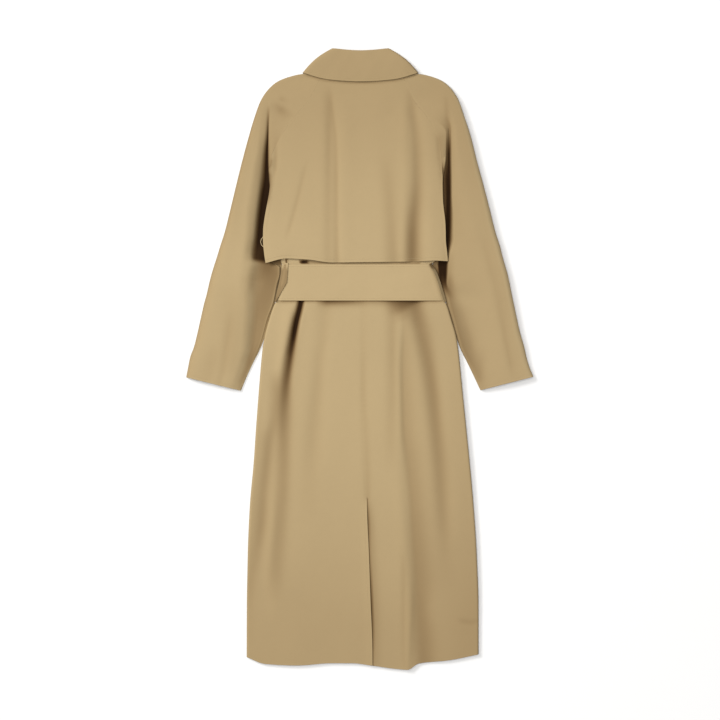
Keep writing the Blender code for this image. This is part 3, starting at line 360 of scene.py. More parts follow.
COLLAR = table("roll_x roll_y roll_z edge_x edge_y edge_z seam_x seam_y seam_z", [
    (-15, 523, 0, -59, 473, 0, -17, 498, 1.9),
    (-37, 565, 0, -93, 521, 0, -57, 541, 1.9),
    (-53, 607, 0, -112, 566, 0, -74, 569, 1.9),
    (-56.6, 617.3, 2.6, -114.6, 571.4, 3, -88, 577, 4.2),
    (-57.6, 619.6, 9.8, -115.4, 572.1, 9.8, -97, 581, 9.0),
    (-56.2, 619.9, 16.6, -113.4, 571.9, 16.6, -92, 580, 13.6),
    (-51, 619.3, 20.3, -107, 568.9, 20.1, -72, 574, 16.3),
    (-29, 616.7, 21, -67, 558.3, 20.5, -29, NECK_Y + SEAM_GAP, 16.5),
    (0, 615.1, 21.2, 0, 553.9, 20.7, 0, NECK_Y + SEAM_GAP, 16.5)])
COLLAR_STEPS = 9
COLLAR_BULGE = 4.6      # how far the collar's sides stand out half way down
COLLAR_SIDE = (30, 52)  # where its sides begin, from the middle
FALL_PUFF = 1.4
FALL_PUFF_RAMP = (2, 22)

# Finishes: the cloth's colour and how light each sort of piece is, partly from its nap and partly
# painted light and shade
COAT_BEIGE = (0.403, 0.302, 0.163)
SHADE_POWERS = (1.0, 1.18, 1.38)    # red, green and blue: painted shade turns the cloth browner as it deepens
# the least share of the colour that painted shade leaves
DARKEST_SHADE_SHARE = 0.045
THREAD_BEIGE = (0.42, 0.32, 0.18)
HORN_BANDS = ((0.36, (0.05, 0.027, 0.013)), (0.7, (0.22, 0.125, 0.055)))
TINT = {"back": 1.0, "flap": 1.0, "front": 0.95, "sleeve": 1.0, "fall": 0.98, "stand": 0.92,
        "belt": 1.03, "loop": 0.9}


# ---------------------------------------------------------------- reading tables, making heights

def ease(share):
    """0 below 0, 1 above 1 and a smooth step between."""
    share = np.clip(share, 0.0, 1.0)
    return share * share * (3 - 2 * share)


def ramp(place, limits):
    """0 at the first limit and 1 at the second, whichever is larger."""
    start, end = limits
    return ease((place - start) / (end - start))


def through(places, values, at):
    """Smooth curves through values at places, which keep within their neighbours."""
    places = np.asarray(places, float)
    values = np.asarray(values, float)
    at = np.clip(np.asarray(at, float), places[0], places[-1])
    wide = (slice(None),) + (None,) * (values.ndim - 1)
    step = np.diff(places)
    slope = np.diff(values, axis=0) / step[wide]
    tangent = np.empty_like(values)
    tangent[0] = slope[0]
    tangent[-1] = slope[-1]
    both = slope[:-1] * slope[1:]
    tangent[1:-1] = np.where(both > 0, 2 * both / np.where(both > 0, slope[:-1] + slope[1:], 1), 0)
    i = np.clip(np.searchsorted(places, at, "right") - 1, 0, len(step) - 1)
    more = (Ellipsis,) + (None,) * (values.ndim - 1)
    t = ((at - places[i]) / step[i])[more]
    length = step[i][more]
    return (values[i] * (1 + 2 * t) * (1 - t) ** 2 + values[i + 1] * t * t * (3 - 2 * t)
            + length * (tangent[i] * t * (1 - t) ** 2 - tangent[i + 1] * t * t * (1 - t)))


def read(source, column, at, key="y"):
    """A column's values at places along the table."""
    places = source[key]
    values = source[column]
    if places[0] > places[-1]:
        places = places[::-1]
        values = values[::-1]
    return through(places, values, at)


def fold_height(fold, x, y):
    """What one large fold adds to the height of the back."""
    enter = ease((fold["y_top"] - y) / fold["fade_top"])
    leave = ease((y - fold["y_low"]) / fold["fade_low"])
    along = (fold["y_top"] - y) / (fold["y_top"] - fold["y_low"])
    middle = (fold["y_top"] - fold["y_mid"]) / (fold["y_top"] - fold["y_low"])
    straight = fold["x_top"] + (fold["x_low"] - fold["x_top"]) * along
    at_middle = fold["x_top"] + (fold["x_low"] - fold["x_top"]) * middle
    bow = (fold["x_mid"] - at_middle) / (middle * (1 - middle))
    away = x - straight - bow * along * (1 - along)
    spread = np.where(away < 0, fold["spread_left"], fold["spread_right"])
    return fold["height"] * enter * leave * np.exp(-(away / spread) ** 2)


WAY_STEPS = 40


def valley(row, x, y):
    """How strong one valley is at places of the cloth, 0 to 1."""
    sharpness, way = row[1:]
    points = np.array(way, float)
    knots = np.concatenate([[0], np.cumsum(np.hypot(*np.diff(points[:, :2], axis=0).T))])
    fine = through(knots, points, np.linspace(0, knots[-1], WAY_STEPS))
    start = fine[:-1, :2]
    run = fine[1:, :2] - start
    length = np.hypot(run[:, 0], run[:, 1])
    reach = 3 * fine[:, 3:].max()      # past this a valley has faded out
    near = ((x > fine[:, 0].min() - reach) & (x < fine[:, 0].max() + reach)
            & (y > fine[:, 1].min() - reach) & (y < fine[:, 1].max() + reach))
    result = np.zeros_like(x, dtype=float)
    if not near.any():
        return result
    spot = np.stack([x[near], y[near]], 1)[:, None, :] - start
    t = np.clip((spot * run).sum(2) / length ** 2, 0, 1)
    off = spot - t[..., None] * run
    distance = np.hypot(off[..., 0], off[..., 1])
    k = distance.argmin(1)
    every = np.arange(len(k))
    side = run[k, 0] * off[every, k, 1] - run[k, 1] * off[every, k, 0]
    here = fine[k] + (fine[k + 1] - fine[k]) * t[every, k][:, None]
    spread = np.where(side < 0, here[:, 3], here[:, 4])
    result[near] = here[:, 2] * np.exp(-(distance[every, k] / spread) ** sharpness)
    return result


def valley_height(rows, x, y):
    return -sum(row[0] * valley(row, x, y) for row in rows)


def valley_shade(rows, x, y):
    """The shade painted into the colour in the valleys, 0 to 1."""
    light = 1.0
    for row in rows:
        if row[0] > 0:
            light = light * (1 - np.clip(valley(row, x, y), 0, 1))
    return 1 - light


RIPPLE_WAVES = 10
# for each piece the seed of its random draws, then height, length and how drawn out along Y.
# left and right are the sleeves
RIPPLES = {"flap": (11, 0.16, 70, 2.0), "back": (5, 0.2, 90, 2.6), "left": (21, 0.22, 75, 2.0),
           "right": (22, 0.22, 75, 2.0), "fall": (31, 0.25, 40, 1.0), "belt": (41, 0.22, 46, 1.0)}


def ripple(x, y, piece):
    """Soft unevenness of a worn cloth."""
    seed, height, length, drawn_out = RIPPLES[piece]
    dice = np.random.default_rng(seed)
    total = 0.0
    for _ in range(RIPPLE_WAVES):
        turn = dice.uniform(0, 2 * math.pi)
        size = length * dice.uniform(0.6, 1.8)
        start = dice.uniform(0, 2 * math.pi)
        total = total + np.sin(2 * math.pi / size * (x * math.cos(turn)
                                                     + y * math.sin(turn) / drawn_out) + start)
    return height * total / math.sqrt(RIPPLE_WAVES)


def collar_rise(y):
    """How high a cloth on the surface is carried by the collar under it."""
    return COLLAR_RISE * ramp(y, COLLAR_RAMP)


def belt_rise(y):
    """How high a cloth on the surface is carried by the belt under it."""
    return BELT_RISE * ramp(y, BELT_LOW_RAMP) * ramp(y, BELT_TOP_RAMP)


def flap_form(x, y):
    """Folds and creases of the storm flap and of the back just under it."""
    large = sum(fold_height(fold, x, y) for fold in FLAP_FOLDS)
    marks = valley_height(FLAP_VALLEYS + SHOULDER_VALLEYS, x, y)
    return large + marks + ripple(x, y, "flap")


def back_form(x, y):
    """The underside of the backs before their creases, as the pattern has it."""
    level = read(LEVEL, "level", y)
    drop = read(BODY, "drop", y)
    edge = level + drop * (collar_rise(y) + belt_rise(y) + CLOTH + SEAM_GAP - level)
    inside = np.minimum(x - read(BODY, "left", y), read(BODY, "right", y) - x)
    share = np.clip(inside / EDGE_ROLL, 0.0, 1.0)
    roll = (1 - (1 - share) ** EDGE_SQUARE) ** (1 / EDGE_SQUARE)
    folds = sum(fold_height(fold, x, y) for fold in SKIRT_FOLDS)
    return edge, level, roll, drop, folds


def back_height(x, y):
    """The underside of the backs."""
    edge, level, roll, drop, folds = back_form(x, y)
    marks = valley_height(SKIRT_VALLEYS, x, y) + ripple(x, y, "back")
    folds = folds + ramp(y, SKIRT_RAMP) * marks
    folds = folds + flap_form(x, y) * ramp(y, FLAP_FOLD_RAMP)
    return edge + (level - edge) * roll + folds * (1 - drop * (1 - roll))


def flap_height(x, y):
    """The underside of the storm flap."""
    lift = CLOTH + LAY_GAP + FLAP_HEM_LIFT * ramp(y, FLAP_LIFT_RAMP)
    return read(LEVEL, "level", y) + lift + flap_form(x, y)


# ------------------------------------------------------------------------------- making a piece

def normals_of(points, quads):
    """Normals at the corners of a mesh of four-sided faces."""
    a, b, c, d = (points[quads[:, k]] for k in range(4))
    face = np.cross(c - a, d - b)
    total = np.zeros_like(points)
    for k in range(4):
        np.add.at(total, quads[:, k], face)
    size = np.linalg.norm(total, axis=1, keepdims=True)
    return total / np.where(size > 0, size, 1)


def rim_of(quads):
    """Edges that only one face has, as pairs of corners in the face's own order."""
    pairs = np.concatenate([quads[:, [k, (k + 1) % 4]] for k in range(4)])
    keys = {(int(a), int(b)) for a, b in pairs}
    return np.array([pair for pair in keys if (pair[1], pair[0]) not in keys])


ROUND = 0.38           # how far the middle of a free edge stands out, as a share of the wall
SEWN = 0.03            # and of an edge that is sewn to a neighbour
EDGE_SHADE = 0.12      # painted shade along a free edge
EDGE_SIDE = 0.15       # more painted shade on a left edge, less on a right one, where it turns to slight painted light
SHARP_ANGLE = math.radians(45)


def shell(name, points, quads, wall, outward, places, run, deep, bulge):
    """A closed cloth from one side's points. outward is 1 where the wall grows to the side that
    the faces look to. places are positions on the flat cloth, in mm, for its weave."""
    normals = normals_of(points, quads)
    outer = points + normals * wall if outward > 0 else points
    inner = points if outward > 0 else points - normals * wall
    rim = rim_of(quads)
    rim = rim[np.lexsort((rim[:, 1], rim[:, 0]))]
    centres = points[quads].mean(axis=1)
    total = np.zeros_like(points)
    count = np.zeros(len(points))
    for k in range(4):
        np.add.at(total, quads[:, k], centres)
        np.add.at(count, quads[:, k], 1)
    away = points - total / np.maximum(count, 1)[:, None]
    away -= normals * (away * normals).sum(1, keepdims=True)
    away /= np.maximum(np.linalg.norm(away, axis=1, keepdims=True), 1e-9)
    edge_corners = np.unique(rim)
    ring_number = np.full(len(points), -1)
    ring_number[edge_corners] = np.arange(len(edge_corners)) + 2 * len(points)
    ring = ((outer + inner) / 2 + away * wall * bulge[:, None])[edge_corners]
    corners = np.concatenate([outer, inner, ring])
    corners[:, 2] = np.maximum(corners[:, 2], 0.0)
    a, b = rim[:, 0], rim[:, 1]
    shift = len(points)
    faces = np.concatenate([
        quads, quads[:, ::-1] + shift,
        np.stack([b, a, ring_number[a], ring_number[b]], 1),
        np.stack([ring_number[b], ring_number[a], a + shift, b + shift], 1)])
    mesh = bpy.data.meshes.new(name)
    mesh.from_pydata((corners * MM).tolist(), [], faces.tolist())
    mesh.validate()
    flat = np.concatenate([places, places, places[edge_corners]]) * MM
    numbers = np.empty(len(mesh.loops), dtype=np.int32)
    mesh.loops.foreach_get("vertex_index", numbers)
    weave = mesh.uv_layers.new(name="cloth")
    weave.data.foreach_set("uv", flat[numbers].astype(np.float32).ravel())
    edge = mesh.attributes.new("from_edge", "FLOAT", "POINT")
    values = np.concatenate([run, run, np.zeros(len(edge_corners))]) * MM
    edge.data.foreach_set("value", values.astype(np.float32))
    # the painted shade, which the material turns into darker colour
    hollow = mesh.attributes.new("hollow", "FLOAT", "POINT")
    # painted shade on free edges, more on left edges than on right ones, as the lamps fall
    tone = (EDGE_SHADE - EDGE_SIDE * away[edge_corners, 0]) * (bulge[edge_corners] > SEWN)
    in_edge = 1 - (1 - deep[edge_corners]) * (1 - tone)
    values = np.concatenate([deep, deep, in_edge])
    hollow.data.foreach_set("value", values.astype(np.float32))
    mesh.shade_smooth()
    mesh.set_sharp_from_angle(angle=SHARP_ANGLE)
    piece = bpy.data.objects.new(name, mesh)
    bpy.context.scene.collection.objects.link(piece)
    return piece


def grid_quads(rows, columns, keep=None):
    """Faces of a grid whose rows run left to right and follow each other downwards."""
    i, j = np.meshgrid(np.arange(rows - 1), np.arange(columns - 1), indexing="ij")
    if keep is not None:
        chosen = keep(i, j)
        i = i[chosen]
        j = j[chosen]
    i = i.ravel()
    j = j.ravel()
    first = i * columns + j
    return np.stack([first, first + columns, first + columns + 1, first + 1], 1)


def grid_normals(grid):
    shape = grid.shape
    points = grid.reshape(-1, 3)
    return normals_of(points, grid_quads(shape[0], shape[1])).reshape(shape)


def run_lengths(grid, axis):
    """How far each place is along its row (axis 1) or column (axis 0)."""
    steps = np.linalg.norm(np.diff(grid, axis=axis), axis=2)
    start = np.zeros_like(np.take(steps, [0], axis=axis))
    return np.concatenate([start, np.cumsum(steps, axis=axis)], axis=axis)


surfaces = {}          # each cloth's upper side and the way up there, for the sewing on it


def cloth(name, grid, wall, outward, sort, shade=0.0, keep=None, centre=0.0, bulge=ROUND):
    """A cloth from a grid of points, with its weave along the grid and the distance to its edges.

    shade is the shade painted into the colour at each place, 0 to 1, keep tells which faces are
    made, centre is the share of a row from which the weave is counted, and bulge how far the
    middle of an edge stands out, as a share of the wall.
    """
    rows, columns = grid.shape[:2]
    ups = grid_normals(grid)
    surfaces[name] = (grid + ups * (wall if outward > 0 else 0), ups)
    across = run_lengths(grid, 1)
    down = run_lengths(grid, 0)
    middle = across[:, [int(centre * (columns - 1))]]
    places = np.stack([across - middle, -down], 2).reshape(-1, 2)
    edge = np.minimum.reduce([across, across[:, -1:] - across, down, down[-1:] - down]).ravel()
    quads = grid_quads(rows, columns, keep)
    points = grid.reshape(-1, 3)
    used = np.unique(quads)
    number = np.full(len(points), -1)
    number[used] = np.arange(len(used))
    x, y = grid[..., 0], grid[..., 1]
    # painted shade for the light's fall-off along and across the coat, joined with the piece's own
    # painted shade
    broad = read(SHADE_ALONG, "shade", y) + read(SHADE_ACROSS, "shade", x, "x")
    deep = np.clip(1 - (1 - broad) * (1 - shade), 0, 1).ravel()
    bulge = np.broadcast_to(bulge, (rows, columns)).ravel()
    piece = shell(name, points[used], number[quads], wall, outward, places[used], edge[used],
                  deep[used], bulge[used])
    piece.data.materials.append(coating(name, sort))
    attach(piece, "root")
    return piece


# ------------------------------------------------------------------------------------ materials

NODES_A_COLUMN = 6


def put(tree, kind, **settings):
    """A node with its settings, set out in columns in the order of making."""
    column, row = divmod(len(tree.nodes), NODES_A_COLUMN)
    made = tree.nodes.new(kind)
    made.location = (200 * column - 1200, 500 - 200 * row)
    for key, value in settings.items():
        setattr(made, key, value)
    return made


def feed(tree, value, socket):
    """Gives a socket another node's output, or else a number or colour of its own."""
    if isinstance(value, bpy.types.NodeSocket):
        tree.links.new(value, socket)
    else:
        socket.default_value = value


def sums(tree, operation, *values):
    """What a Math node makes of sockets or numbers."""
    made = put(tree, "ShaderNodeMath", operation=operation)
    for value, socket in zip(values, made.inputs):
        feed(tree, value, socket)
    return made.outputs[0]


def plus(tree, a, b):
    return sums(tree, "ADD", a, b)


def times(tree, a, b):
    return sums(tree, "MULTIPLY", a, b)


def noise(tree, vector, scale, detail, roughness=0.5):
    made = put(tree, "ShaderNodeTexNoise")
    for value, label in ((vector, "Vector"), (scale, "Scale"), (detail, "Detail"),
                         (roughness, "Roughness")):
        feed(tree, value, made.inputs[label])
    return made.outputs["Fac"]


def group(name, inputs, outputs):
    """A shader node group with named sockets."""
    tree = bpy.data.node_groups.new(name, "ShaderNodeTree")
    for label, kind, value in inputs:
        socket = tree.interface.new_socket(label, in_out="INPUT", socket_type="NodeSocket" + kind)
        if value is not None:
            socket.default_value = value
    for label, kind in outputs:
        tree.interface.new_socket(label, in_out="OUTPUT", socket_type="NodeSocket" + kind)
    return tree, put(tree, "NodeGroupInput").outputs, put(tree, "NodeGroupOutput").inputs


def use(tree, made_group, **values):
    """A group in a tree, with what its sockets are given."""
    made = put(tree, "ShaderNodeGroup", node_tree=made_group)
    for key, value in values.items():
        feed(tree, value, made.inputs[key])
    return made.outputs


RIB_ACROSS, RIB_UP = 0.88, 0.47          # the way the twill's ribs are counted
RIB_WANDER = 3.2                         # how far they wander, in radians
YARNS_A_RIB = 1.7
RIB_SHARE, YARN_SHARE, SLUB_SHARE = 0.34, 0.12, 0.3
MEAN_TONE, TONE_SHARE = 0.955, 0.13      # a tone from the weave's height


def twill_group():
    """Steep twill ribs over fine yarns: a height and a tone."""
    tree, given, result = group("Twill weave", [("Place", "Vector", None),
                                                ("Rib", "Float", 0.0007)],
                                [("Height", "Float"), ("Tone", "Float")])
    split = put(tree, "ShaderNodeSeparateXYZ")
    feed(tree, given["Place"], split.inputs[0])
    u, v = split.outputs["X"], split.outputs["Y"]
    turns = sums(tree, "DIVIDE", 2 * math.pi, given["Rib"])
    slant = plus(tree, times(tree, u, RIB_ACROSS), times(tree, v, RIB_UP))
    wander = noise(tree, given["Place"], scale=260, detail=2)
    phase = plus(tree, times(tree, slant, turns), times(tree, wander, RIB_WANDER))
    rib = sums(tree, "SINE", phase)
    yarn = sums(tree, "SINE", times(tree, times(tree, v, turns), YARNS_A_RIB))
    slub = noise(tree, given["Place"], scale=900, detail=1)
    height = plus(tree, plus(tree, times(tree, rib, RIB_SHARE), times(tree, yarn, YARN_SHARE)),
                  times(tree, slub, SLUB_SHARE))
    feed(tree, height, result["Height"])
    feed(tree, plus(tree, MEAN_TONE, times(tree, height, TONE_SHARE)), result["Tone"])
    return tree


def drift_group():
    """Broad and fine unevenness of a dyed and worn cloth, about 1."""
    tree, given, result = group("Tone drift", [("Place", "Vector", None), ("Broad", "Float", 0.05),
                                               ("Fine", "Float", 0.03)], [("Tone", "Float")])
    broad = noise(tree, given["Place"], scale=4.5, detail=3)
    fine = noise(tree, given["Place"], scale=70, detail=4, roughness=0.6)
    broad = times(tree, sums(tree, "SUBTRACT", broad, 0.5), given["Broad"])
    fine = times(tree, sums(tree, "SUBTRACT", fine, 0.5), given["Fine"])
    feed(tree, plus(tree, plus(tree, broad, fine), 1.0), result["Tone"])
    return tree


def edge_group():
    """1 at an edge or seam, falling softly to 0 at a width from it."""
    tree, given, result = group("Pressed edge", [("Distance", "Float", 1.0),
                                                 ("Width", "Float", 0.006)], [("Mask", "Float")])
    share = sums(tree, "DIVIDE", given["Distance"], given["Width"])
    fall = times(tree, times(tree, share, share), -1.0)
    feed(tree, sums(tree, "EXPONENT", fall), result["Mask"])
    return tree


def painted_shade_group():
    """The share of each colour that the painted shade leaves, browner as it deepens."""
    tree, given, result = group("Painted fold shade", [("Depth", "Float", 0.0)], [("Share", "Color")])
    left = sums(tree, "MAXIMUM", sums(tree, "SUBTRACT", 1.0, given["Depth"]), DARKEST_SHADE_SHARE)
    share = put(tree, "ShaderNodeCombineColor")
    for power, socket in zip(SHADE_POWERS, share.inputs):
        feed(tree, sums(tree, "POWER", left, power), socket)
    feed(tree, share.outputs[0], result["Share"])
    return tree


twill = twill_group()
drift = drift_group()
pressed_edge = edge_group()
painted_fold_shade = painted_shade_group()


def new_finish(name, **settings):
    """A material, its node tree and its shader's inputs, some of them set."""
    finish = bpy.data.materials.new(name)
    finish.use_nodes = True
    tree = finish.node_tree
    shader = tree.nodes["Principled BSDF"]
    shader.location = (2200, 0)
    for label, value in settings.items():
        shader.inputs[label.replace("_", " ")].default_value = value
    return finish, tree, shader.inputs


def place_in(tree):
    """The place on the piece, for patterns that don't follow its cloth."""
    return put(tree, "ShaderNodeTexCoord").outputs["Object"]


def surface(tree, shader, pattern, roughness, more_rough, strength, height):
    """Roughness and bump from one pattern, strength and height being the bump's."""
    feed(tree, plus(tree, roughness, times(tree, pattern, more_rough)), shader["Roughness"])
    bump = put(tree, "ShaderNodeBump")
    for value, label in ((strength, "Strength"), (height, "Distance"), (pattern, "Height")):
        feed(tree, value, bump.inputs[label])
    feed(tree, bump.outputs["Normal"], shader["Normal"])


def scaled_colour(tree, colour, amount):
    made = put(tree, "ShaderNodeVectorMath", operation="SCALE")
    feed(tree, colour, made.inputs[0])
    feed(tree, amount, made.inputs["Scale"])
    return made.outputs[0]


def coating(name, sort):
    """Closely woven cotton coating: twill ribs, drifting tone, edges rubbed a little lighter, and
    the shade painted into its points.
    """
    finish, tree, shader = new_finish(
        name + "_coating", Specular_IOR_Level=0.05, Sheen_Weight=0.02, Sheen_Roughness=0.45,
        Sheen_Tint=(1.0, 0.9, 0.74, 1))
    cloth_map = put(tree, "ShaderNodeUVMap", uv_map="cloth").outputs["UV"]
    edge = put(tree, "ShaderNodeAttribute", attribute_name="from_edge").outputs["Fac"]
    deep = put(tree, "ShaderNodeAttribute", attribute_name="hollow").outputs["Fac"]
    weave = use(tree, twill, Place=cloth_map, Rib=0.0008)
    tone = use(tree, drift, Place=place_in(tree), Broad=0.09, Fine=0.035)
    rubbed = use(tree, pressed_edge, Distance=edge, Width=0.0022)
    light = plus(tree, times(tree, weave["Tone"], tone["Tone"]),
                 times(tree, rubbed["Mask"], 0.035))
    base = tuple(channel * TINT[sort] for channel in COAT_BEIGE)
    # painted shade: the colour is multiplied by what the painted shade leaves of it
    shaded = put(tree, "ShaderNodeMix", data_type="RGBA", blend_type="MULTIPLY")
    shaded.inputs[0].default_value = 1.0
    feed(tree, scaled_colour(tree, base, light), shaded.inputs[6])
    feed(tree, use(tree, painted_fold_shade, Depth=deep)["Share"], shaded.inputs[7])
    feed(tree, shaded.outputs[2], shader["Base Color"])
    surface(tree, shader, weave["Height"], roughness=0.72, more_rough=0.12, strength=0.5,
            height=0.00016)
    return finish


def thread_finish():
    """Matte twisted thread, a touch lighter than the cloth."""
    finish, tree, shader = new_finish("sewing_thread", Specular_IOR_Level=0.2)
    place = place_in(tree)
    tone = use(tree, drift, Place=place, Broad=0.12, Fine=0.1)["Tone"]
    feed(tree, scaled_colour(tree, THREAD_BEIGE, tone), shader["Base Color"])
    twist = noise(tree, place, scale=2600, detail=2)
    surface(tree, shader, twist, roughness=0.6, more_rough=0.25, strength=0.6, height=0.0001)
    return finish


def button_finish():
    """Dull brown horn in cloudy bands."""
    finish, tree, shader = new_finish("button_horn", Coat_Weight=0.15, Coat_Roughness=0.3)
    place = place_in(tree)
    bands = put(tree, "ShaderNodeValToRGB")
    for stop, (at, colour) in zip(bands.color_ramp.elements, HORN_BANDS):
        stop.position = at
        stop.color = (*colour, 1)
    cloud = noise(tree, place, scale=160, detail=4, roughness=0.6)
    feed(tree, cloud, bands.inputs["Fac"])
    feed(tree, bands.outputs["Color"], shader["Base Color"])
    grain = noise(tree, place, scale=900, detail=3)
    surface(tree, shader, grain, roughness=0.28, more_rough=0.2, strength=0.25, height=0.00008)
    return finish


# ------------------------------------------------------------------------------------- the body

def spaced(start, end, pitch=PITCH):
    """Evenly spaced places from start to end, both among them."""
    return np.linspace(start, end, max(2, round(abs(end - start) / pitch) + 1))


def level_rows(levels, hem_rows):
    """Level rows, then hem_rows more that turn gradually to the hem's own line: the level of each
    row and its share of the way to the hem."""
    share = np.concatenate([np.zeros(len(levels)), np.linspace(0, 1, hem_rows + 1)[1:]])
    return np.concatenate([levels, np.full(hem_rows, levels[-1])])[:, None], share[:, None]


def to_hem(rows, hem):
    """Where rows from level_rows are, with the last of them at the hem."""
    levels, share = rows
    return np.where(share > 0, levels + (hem - levels) * share, levels)


def bell(away, reach):
    """1 at no distance, fading over a reach."""
    return np.exp(-(away / reach) ** 2)


HIDDEN_PITCH = 9.0     # spacing of the backs' rows under the storm flap
HIDDEN_ABOVE_Y = 250
HEM_BLEND_Y = -430.0   # below this the backs' rows turn gradually to the hem
BACK_ROWS = level_rows(np.concatenate([spaced(NECK_Y, HIDDEN_ABOVE_Y, HIDDEN_PITCH)[:-1],
                                       spaced(HIDDEN_ABOVE_Y, HEM_BLEND_Y)]), 50)
BACK_HEM_Y = -612.0    # about where the hem lies
ACROSS_BACK = np.concatenate([[0, 0.0015, 0.005, 0.01, 0.017], np.linspace(0.026, 1, 59)])
SEAM_DIP = 0.12        # how far the cloth dips at a seam, and over what width
SEAM_DIP_WIDTH = 2.6
PUCKER = 0.22          # how high the centre seam puckers, how long each pucker is and how wide
PUCKER_LENGTH = 11.0
PUCKER_WIDTH = 7.0
PUCKER_SWELL = 31.0    # over what length they grow and fade
LEFT_VENT_LIFT = 1.3   # how far the vent's upper edge stands off, and over what width
LEFT_VENT_WIDTH = 9.0
UNDERLAP_LINES = (1, 0.75, 0.5, 0.3, 0.15, 0.075)    # shares of the vent's underlap


def centre_back(y):
    return read(CENTRE_BACK, "x", y)


def back_grid(side):
    """The underside of one back, from the neck to the hem."""
    gap = -CENTRE_GAP / 2 if side == "left" else CENTRE_GAP / 2
    base = to_hem(BACK_ROWS, BACK_HEM_Y)[:, 0]
    edge = read(BODY, side, base)
    middle = centre_back(base) + gap
    at = ACROSS_BACK if side == "left" else 1 - ACROSS_BACK[::-1]
    lefts, rights = (edge, middle) if side == "left" else (middle, edge)
    x = lefts[:, None] + (rights - lefts)[:, None] * at
    y = to_hem(BACK_ROWS, read(BACK_HEM, "y", x, "x"))
    from_seam = np.abs(x - (centre_back(y) + gap))
    z = back_height(x, y)
    z -= SEAM_DIP * bell(from_seam, SEAM_DIP_WIDTH) * ramp(y, (VENT_TOP_Y - 30, VENT_TOP_Y))
    pucker = np.sin(y * 2 * math.pi / PUCKER_LENGTH) * np.sin(y / PUCKER_SWELL + 1.0)
    z += PUCKER * pucker * bell(from_seam, PUCKER_WIDTH) * ramp(y, (VENT_TOP_Y, VENT_TOP_Y + 20))
    if side == "left":
        open_vent = ramp(y, (VENT_TOP_Y, VENT_TOP_Y - 40))
        z += LEFT_VENT_LIFT * bell(from_seam, LEFT_VENT_WIDTH) * open_vent
    return np.stack([x, y, z], 2)


def back_shade(grid, more=()):
    """The shade painted into a back's colour in its valleys, and the shadow painted in its slots.
    """
    x, y = grid[..., 0], grid[..., 1]
    skirt = valley_shade(SKIRT_VALLEYS, x, y) * ramp(y, SKIRT_SHADE_RAMP)
    return 1 - (1 - skirt) * (1 - valley_shade(HEM_GAP_SHADOW + list(more), x, y))


def seam_bulge(grid, column):
    """The bulge of a back's edges: nearly none where the centre seam is sewn."""
    result = np.full(grid.shape[:2], ROUND)
    sewn = grid[:, column, 1] > VENT_TOP_Y
    result[sewn, column] = SEWN
    return result


def make_backs():
    """Both backs, the right one with the vent's underlap, which lies a step lower."""
    left = back_grid("left")
    cloth("back_left_cloth", left, CLOTH, 1, "back", back_shade(left), bulge=seam_bulge(left, -1))
    right = back_grid("right")
    step_down = CLOTH + LAY_GAP
    x = right[:, :1, 0] - VENT_UNDERLAP * np.array(UNDERLAP_LINES)
    y = to_hem(BACK_ROWS, read(BACK_HEM, "y", x, "x"))
    under = np.stack([x, y, back_height(x, y) - step_down], 2)
    below = right[:, 0, 1] <= VENT_TOP_Y
    right[below, 0, 2] -= step_down
    full = np.concatenate([under, right], axis=1)
    lines = len(UNDERLAP_LINES)
    vent_row = int(np.argmax(below))
    cloth("back_right_cloth", full, CLOTH, 1, "back", back_shade(full, VENT_UNDERLAP_SHADOW),
          keep=lambda i, j: (j >= lines) | (i >= vent_row), bulge=seam_bulge(full, lines))


FLAP_LAST_LEVEL_Y = 230    # below this the flap's rows turn gradually to its hem
FLAP_HEM_ROWS = 12
FLAP_COLUMNS = 104
DROOP_WIDTH = 8.0          # over which the flap's free edges come down
HEM_WAVE = 0.55            # how high the flap's hem waves, and how far up that reaches
HEM_WAVE_REACH = 12.0
HEM_WAVES = ((1.0, 17.0, 0.6), (0.6, 8.3, 2.0))      # strength, length and start
FLAP_EDGE_SHADE = 0.35     # painted shade along the free left edge's upper part, and its width
FLAP_EDGE_SHADE_WIDTH = 3.4
FLAP_EDGE_SHADE_LOW = (300, 325)
FLAP_EDGE_SHADE_TOP = (405, 395)


def flap_grid():
    """The storm flap lies on both backs and runs past their raglan seams."""
    rows = level_rows(spaced(NECK_Y, FLAP_LAST_LEVEL_Y), FLAP_HEM_ROWS)
    base = to_hem(rows, FLAP_EDGE["y"][-1])[:, 0]
    free = base < FLAP_EDGE["y"][0]
    left = np.where(free, read(FLAP_EDGE, "left", base), read(BODY, "left", base))
    right = np.where(free, read(FLAP_EDGE, "right", base), read(BODY, "right", base))
    droop = np.where(free, read(FLAP_EDGE, "droop", base), 0)
    x = left[:, None] + (right - left)[:, None] * np.linspace(0, 1, FLAP_COLUMNS)
    hem = read(FLAP_HEM, "y", x, "x")
    y = to_hem(rows, hem)
    inside = np.minimum(x - left[:, None], right[:, None] - x)
    z = flap_height(x, y) - droop[:, None] * bell(inside, DROOP_WIDTH)
    wave = sum(strength * np.sin(x / length + start) for strength, length, start in HEM_WAVES)
    z += HEM_WAVE * wave * bell(y - hem, HEM_WAVE_REACH)
    return np.stack([x, y, z], 2)


def make_flap():
    grid = flap_grid()
    x, y = grid[..., 0], grid[..., 1]
    # painted shade along the left edge and in the flap's valleys
    edge = (FLAP_EDGE_SHADE * bell(x - x[:, :1], FLAP_EDGE_SHADE_WIDTH)
            * ramp(y, FLAP_EDGE_SHADE_LOW) * ramp(y, FLAP_EDGE_SHADE_TOP))
    folds = valley_shade(FLAP_VALLEYS + SHOULDER_VALLEYS, x, y)
    cloth("storm_flap_cloth", grid, CLOTH, 1, "flap", 1 - (1 - folds) * (1 - edge), centre=0.5,
          bulge=np.where(y > FLAP_EDGE["y"][0], SEWN, ROUND))


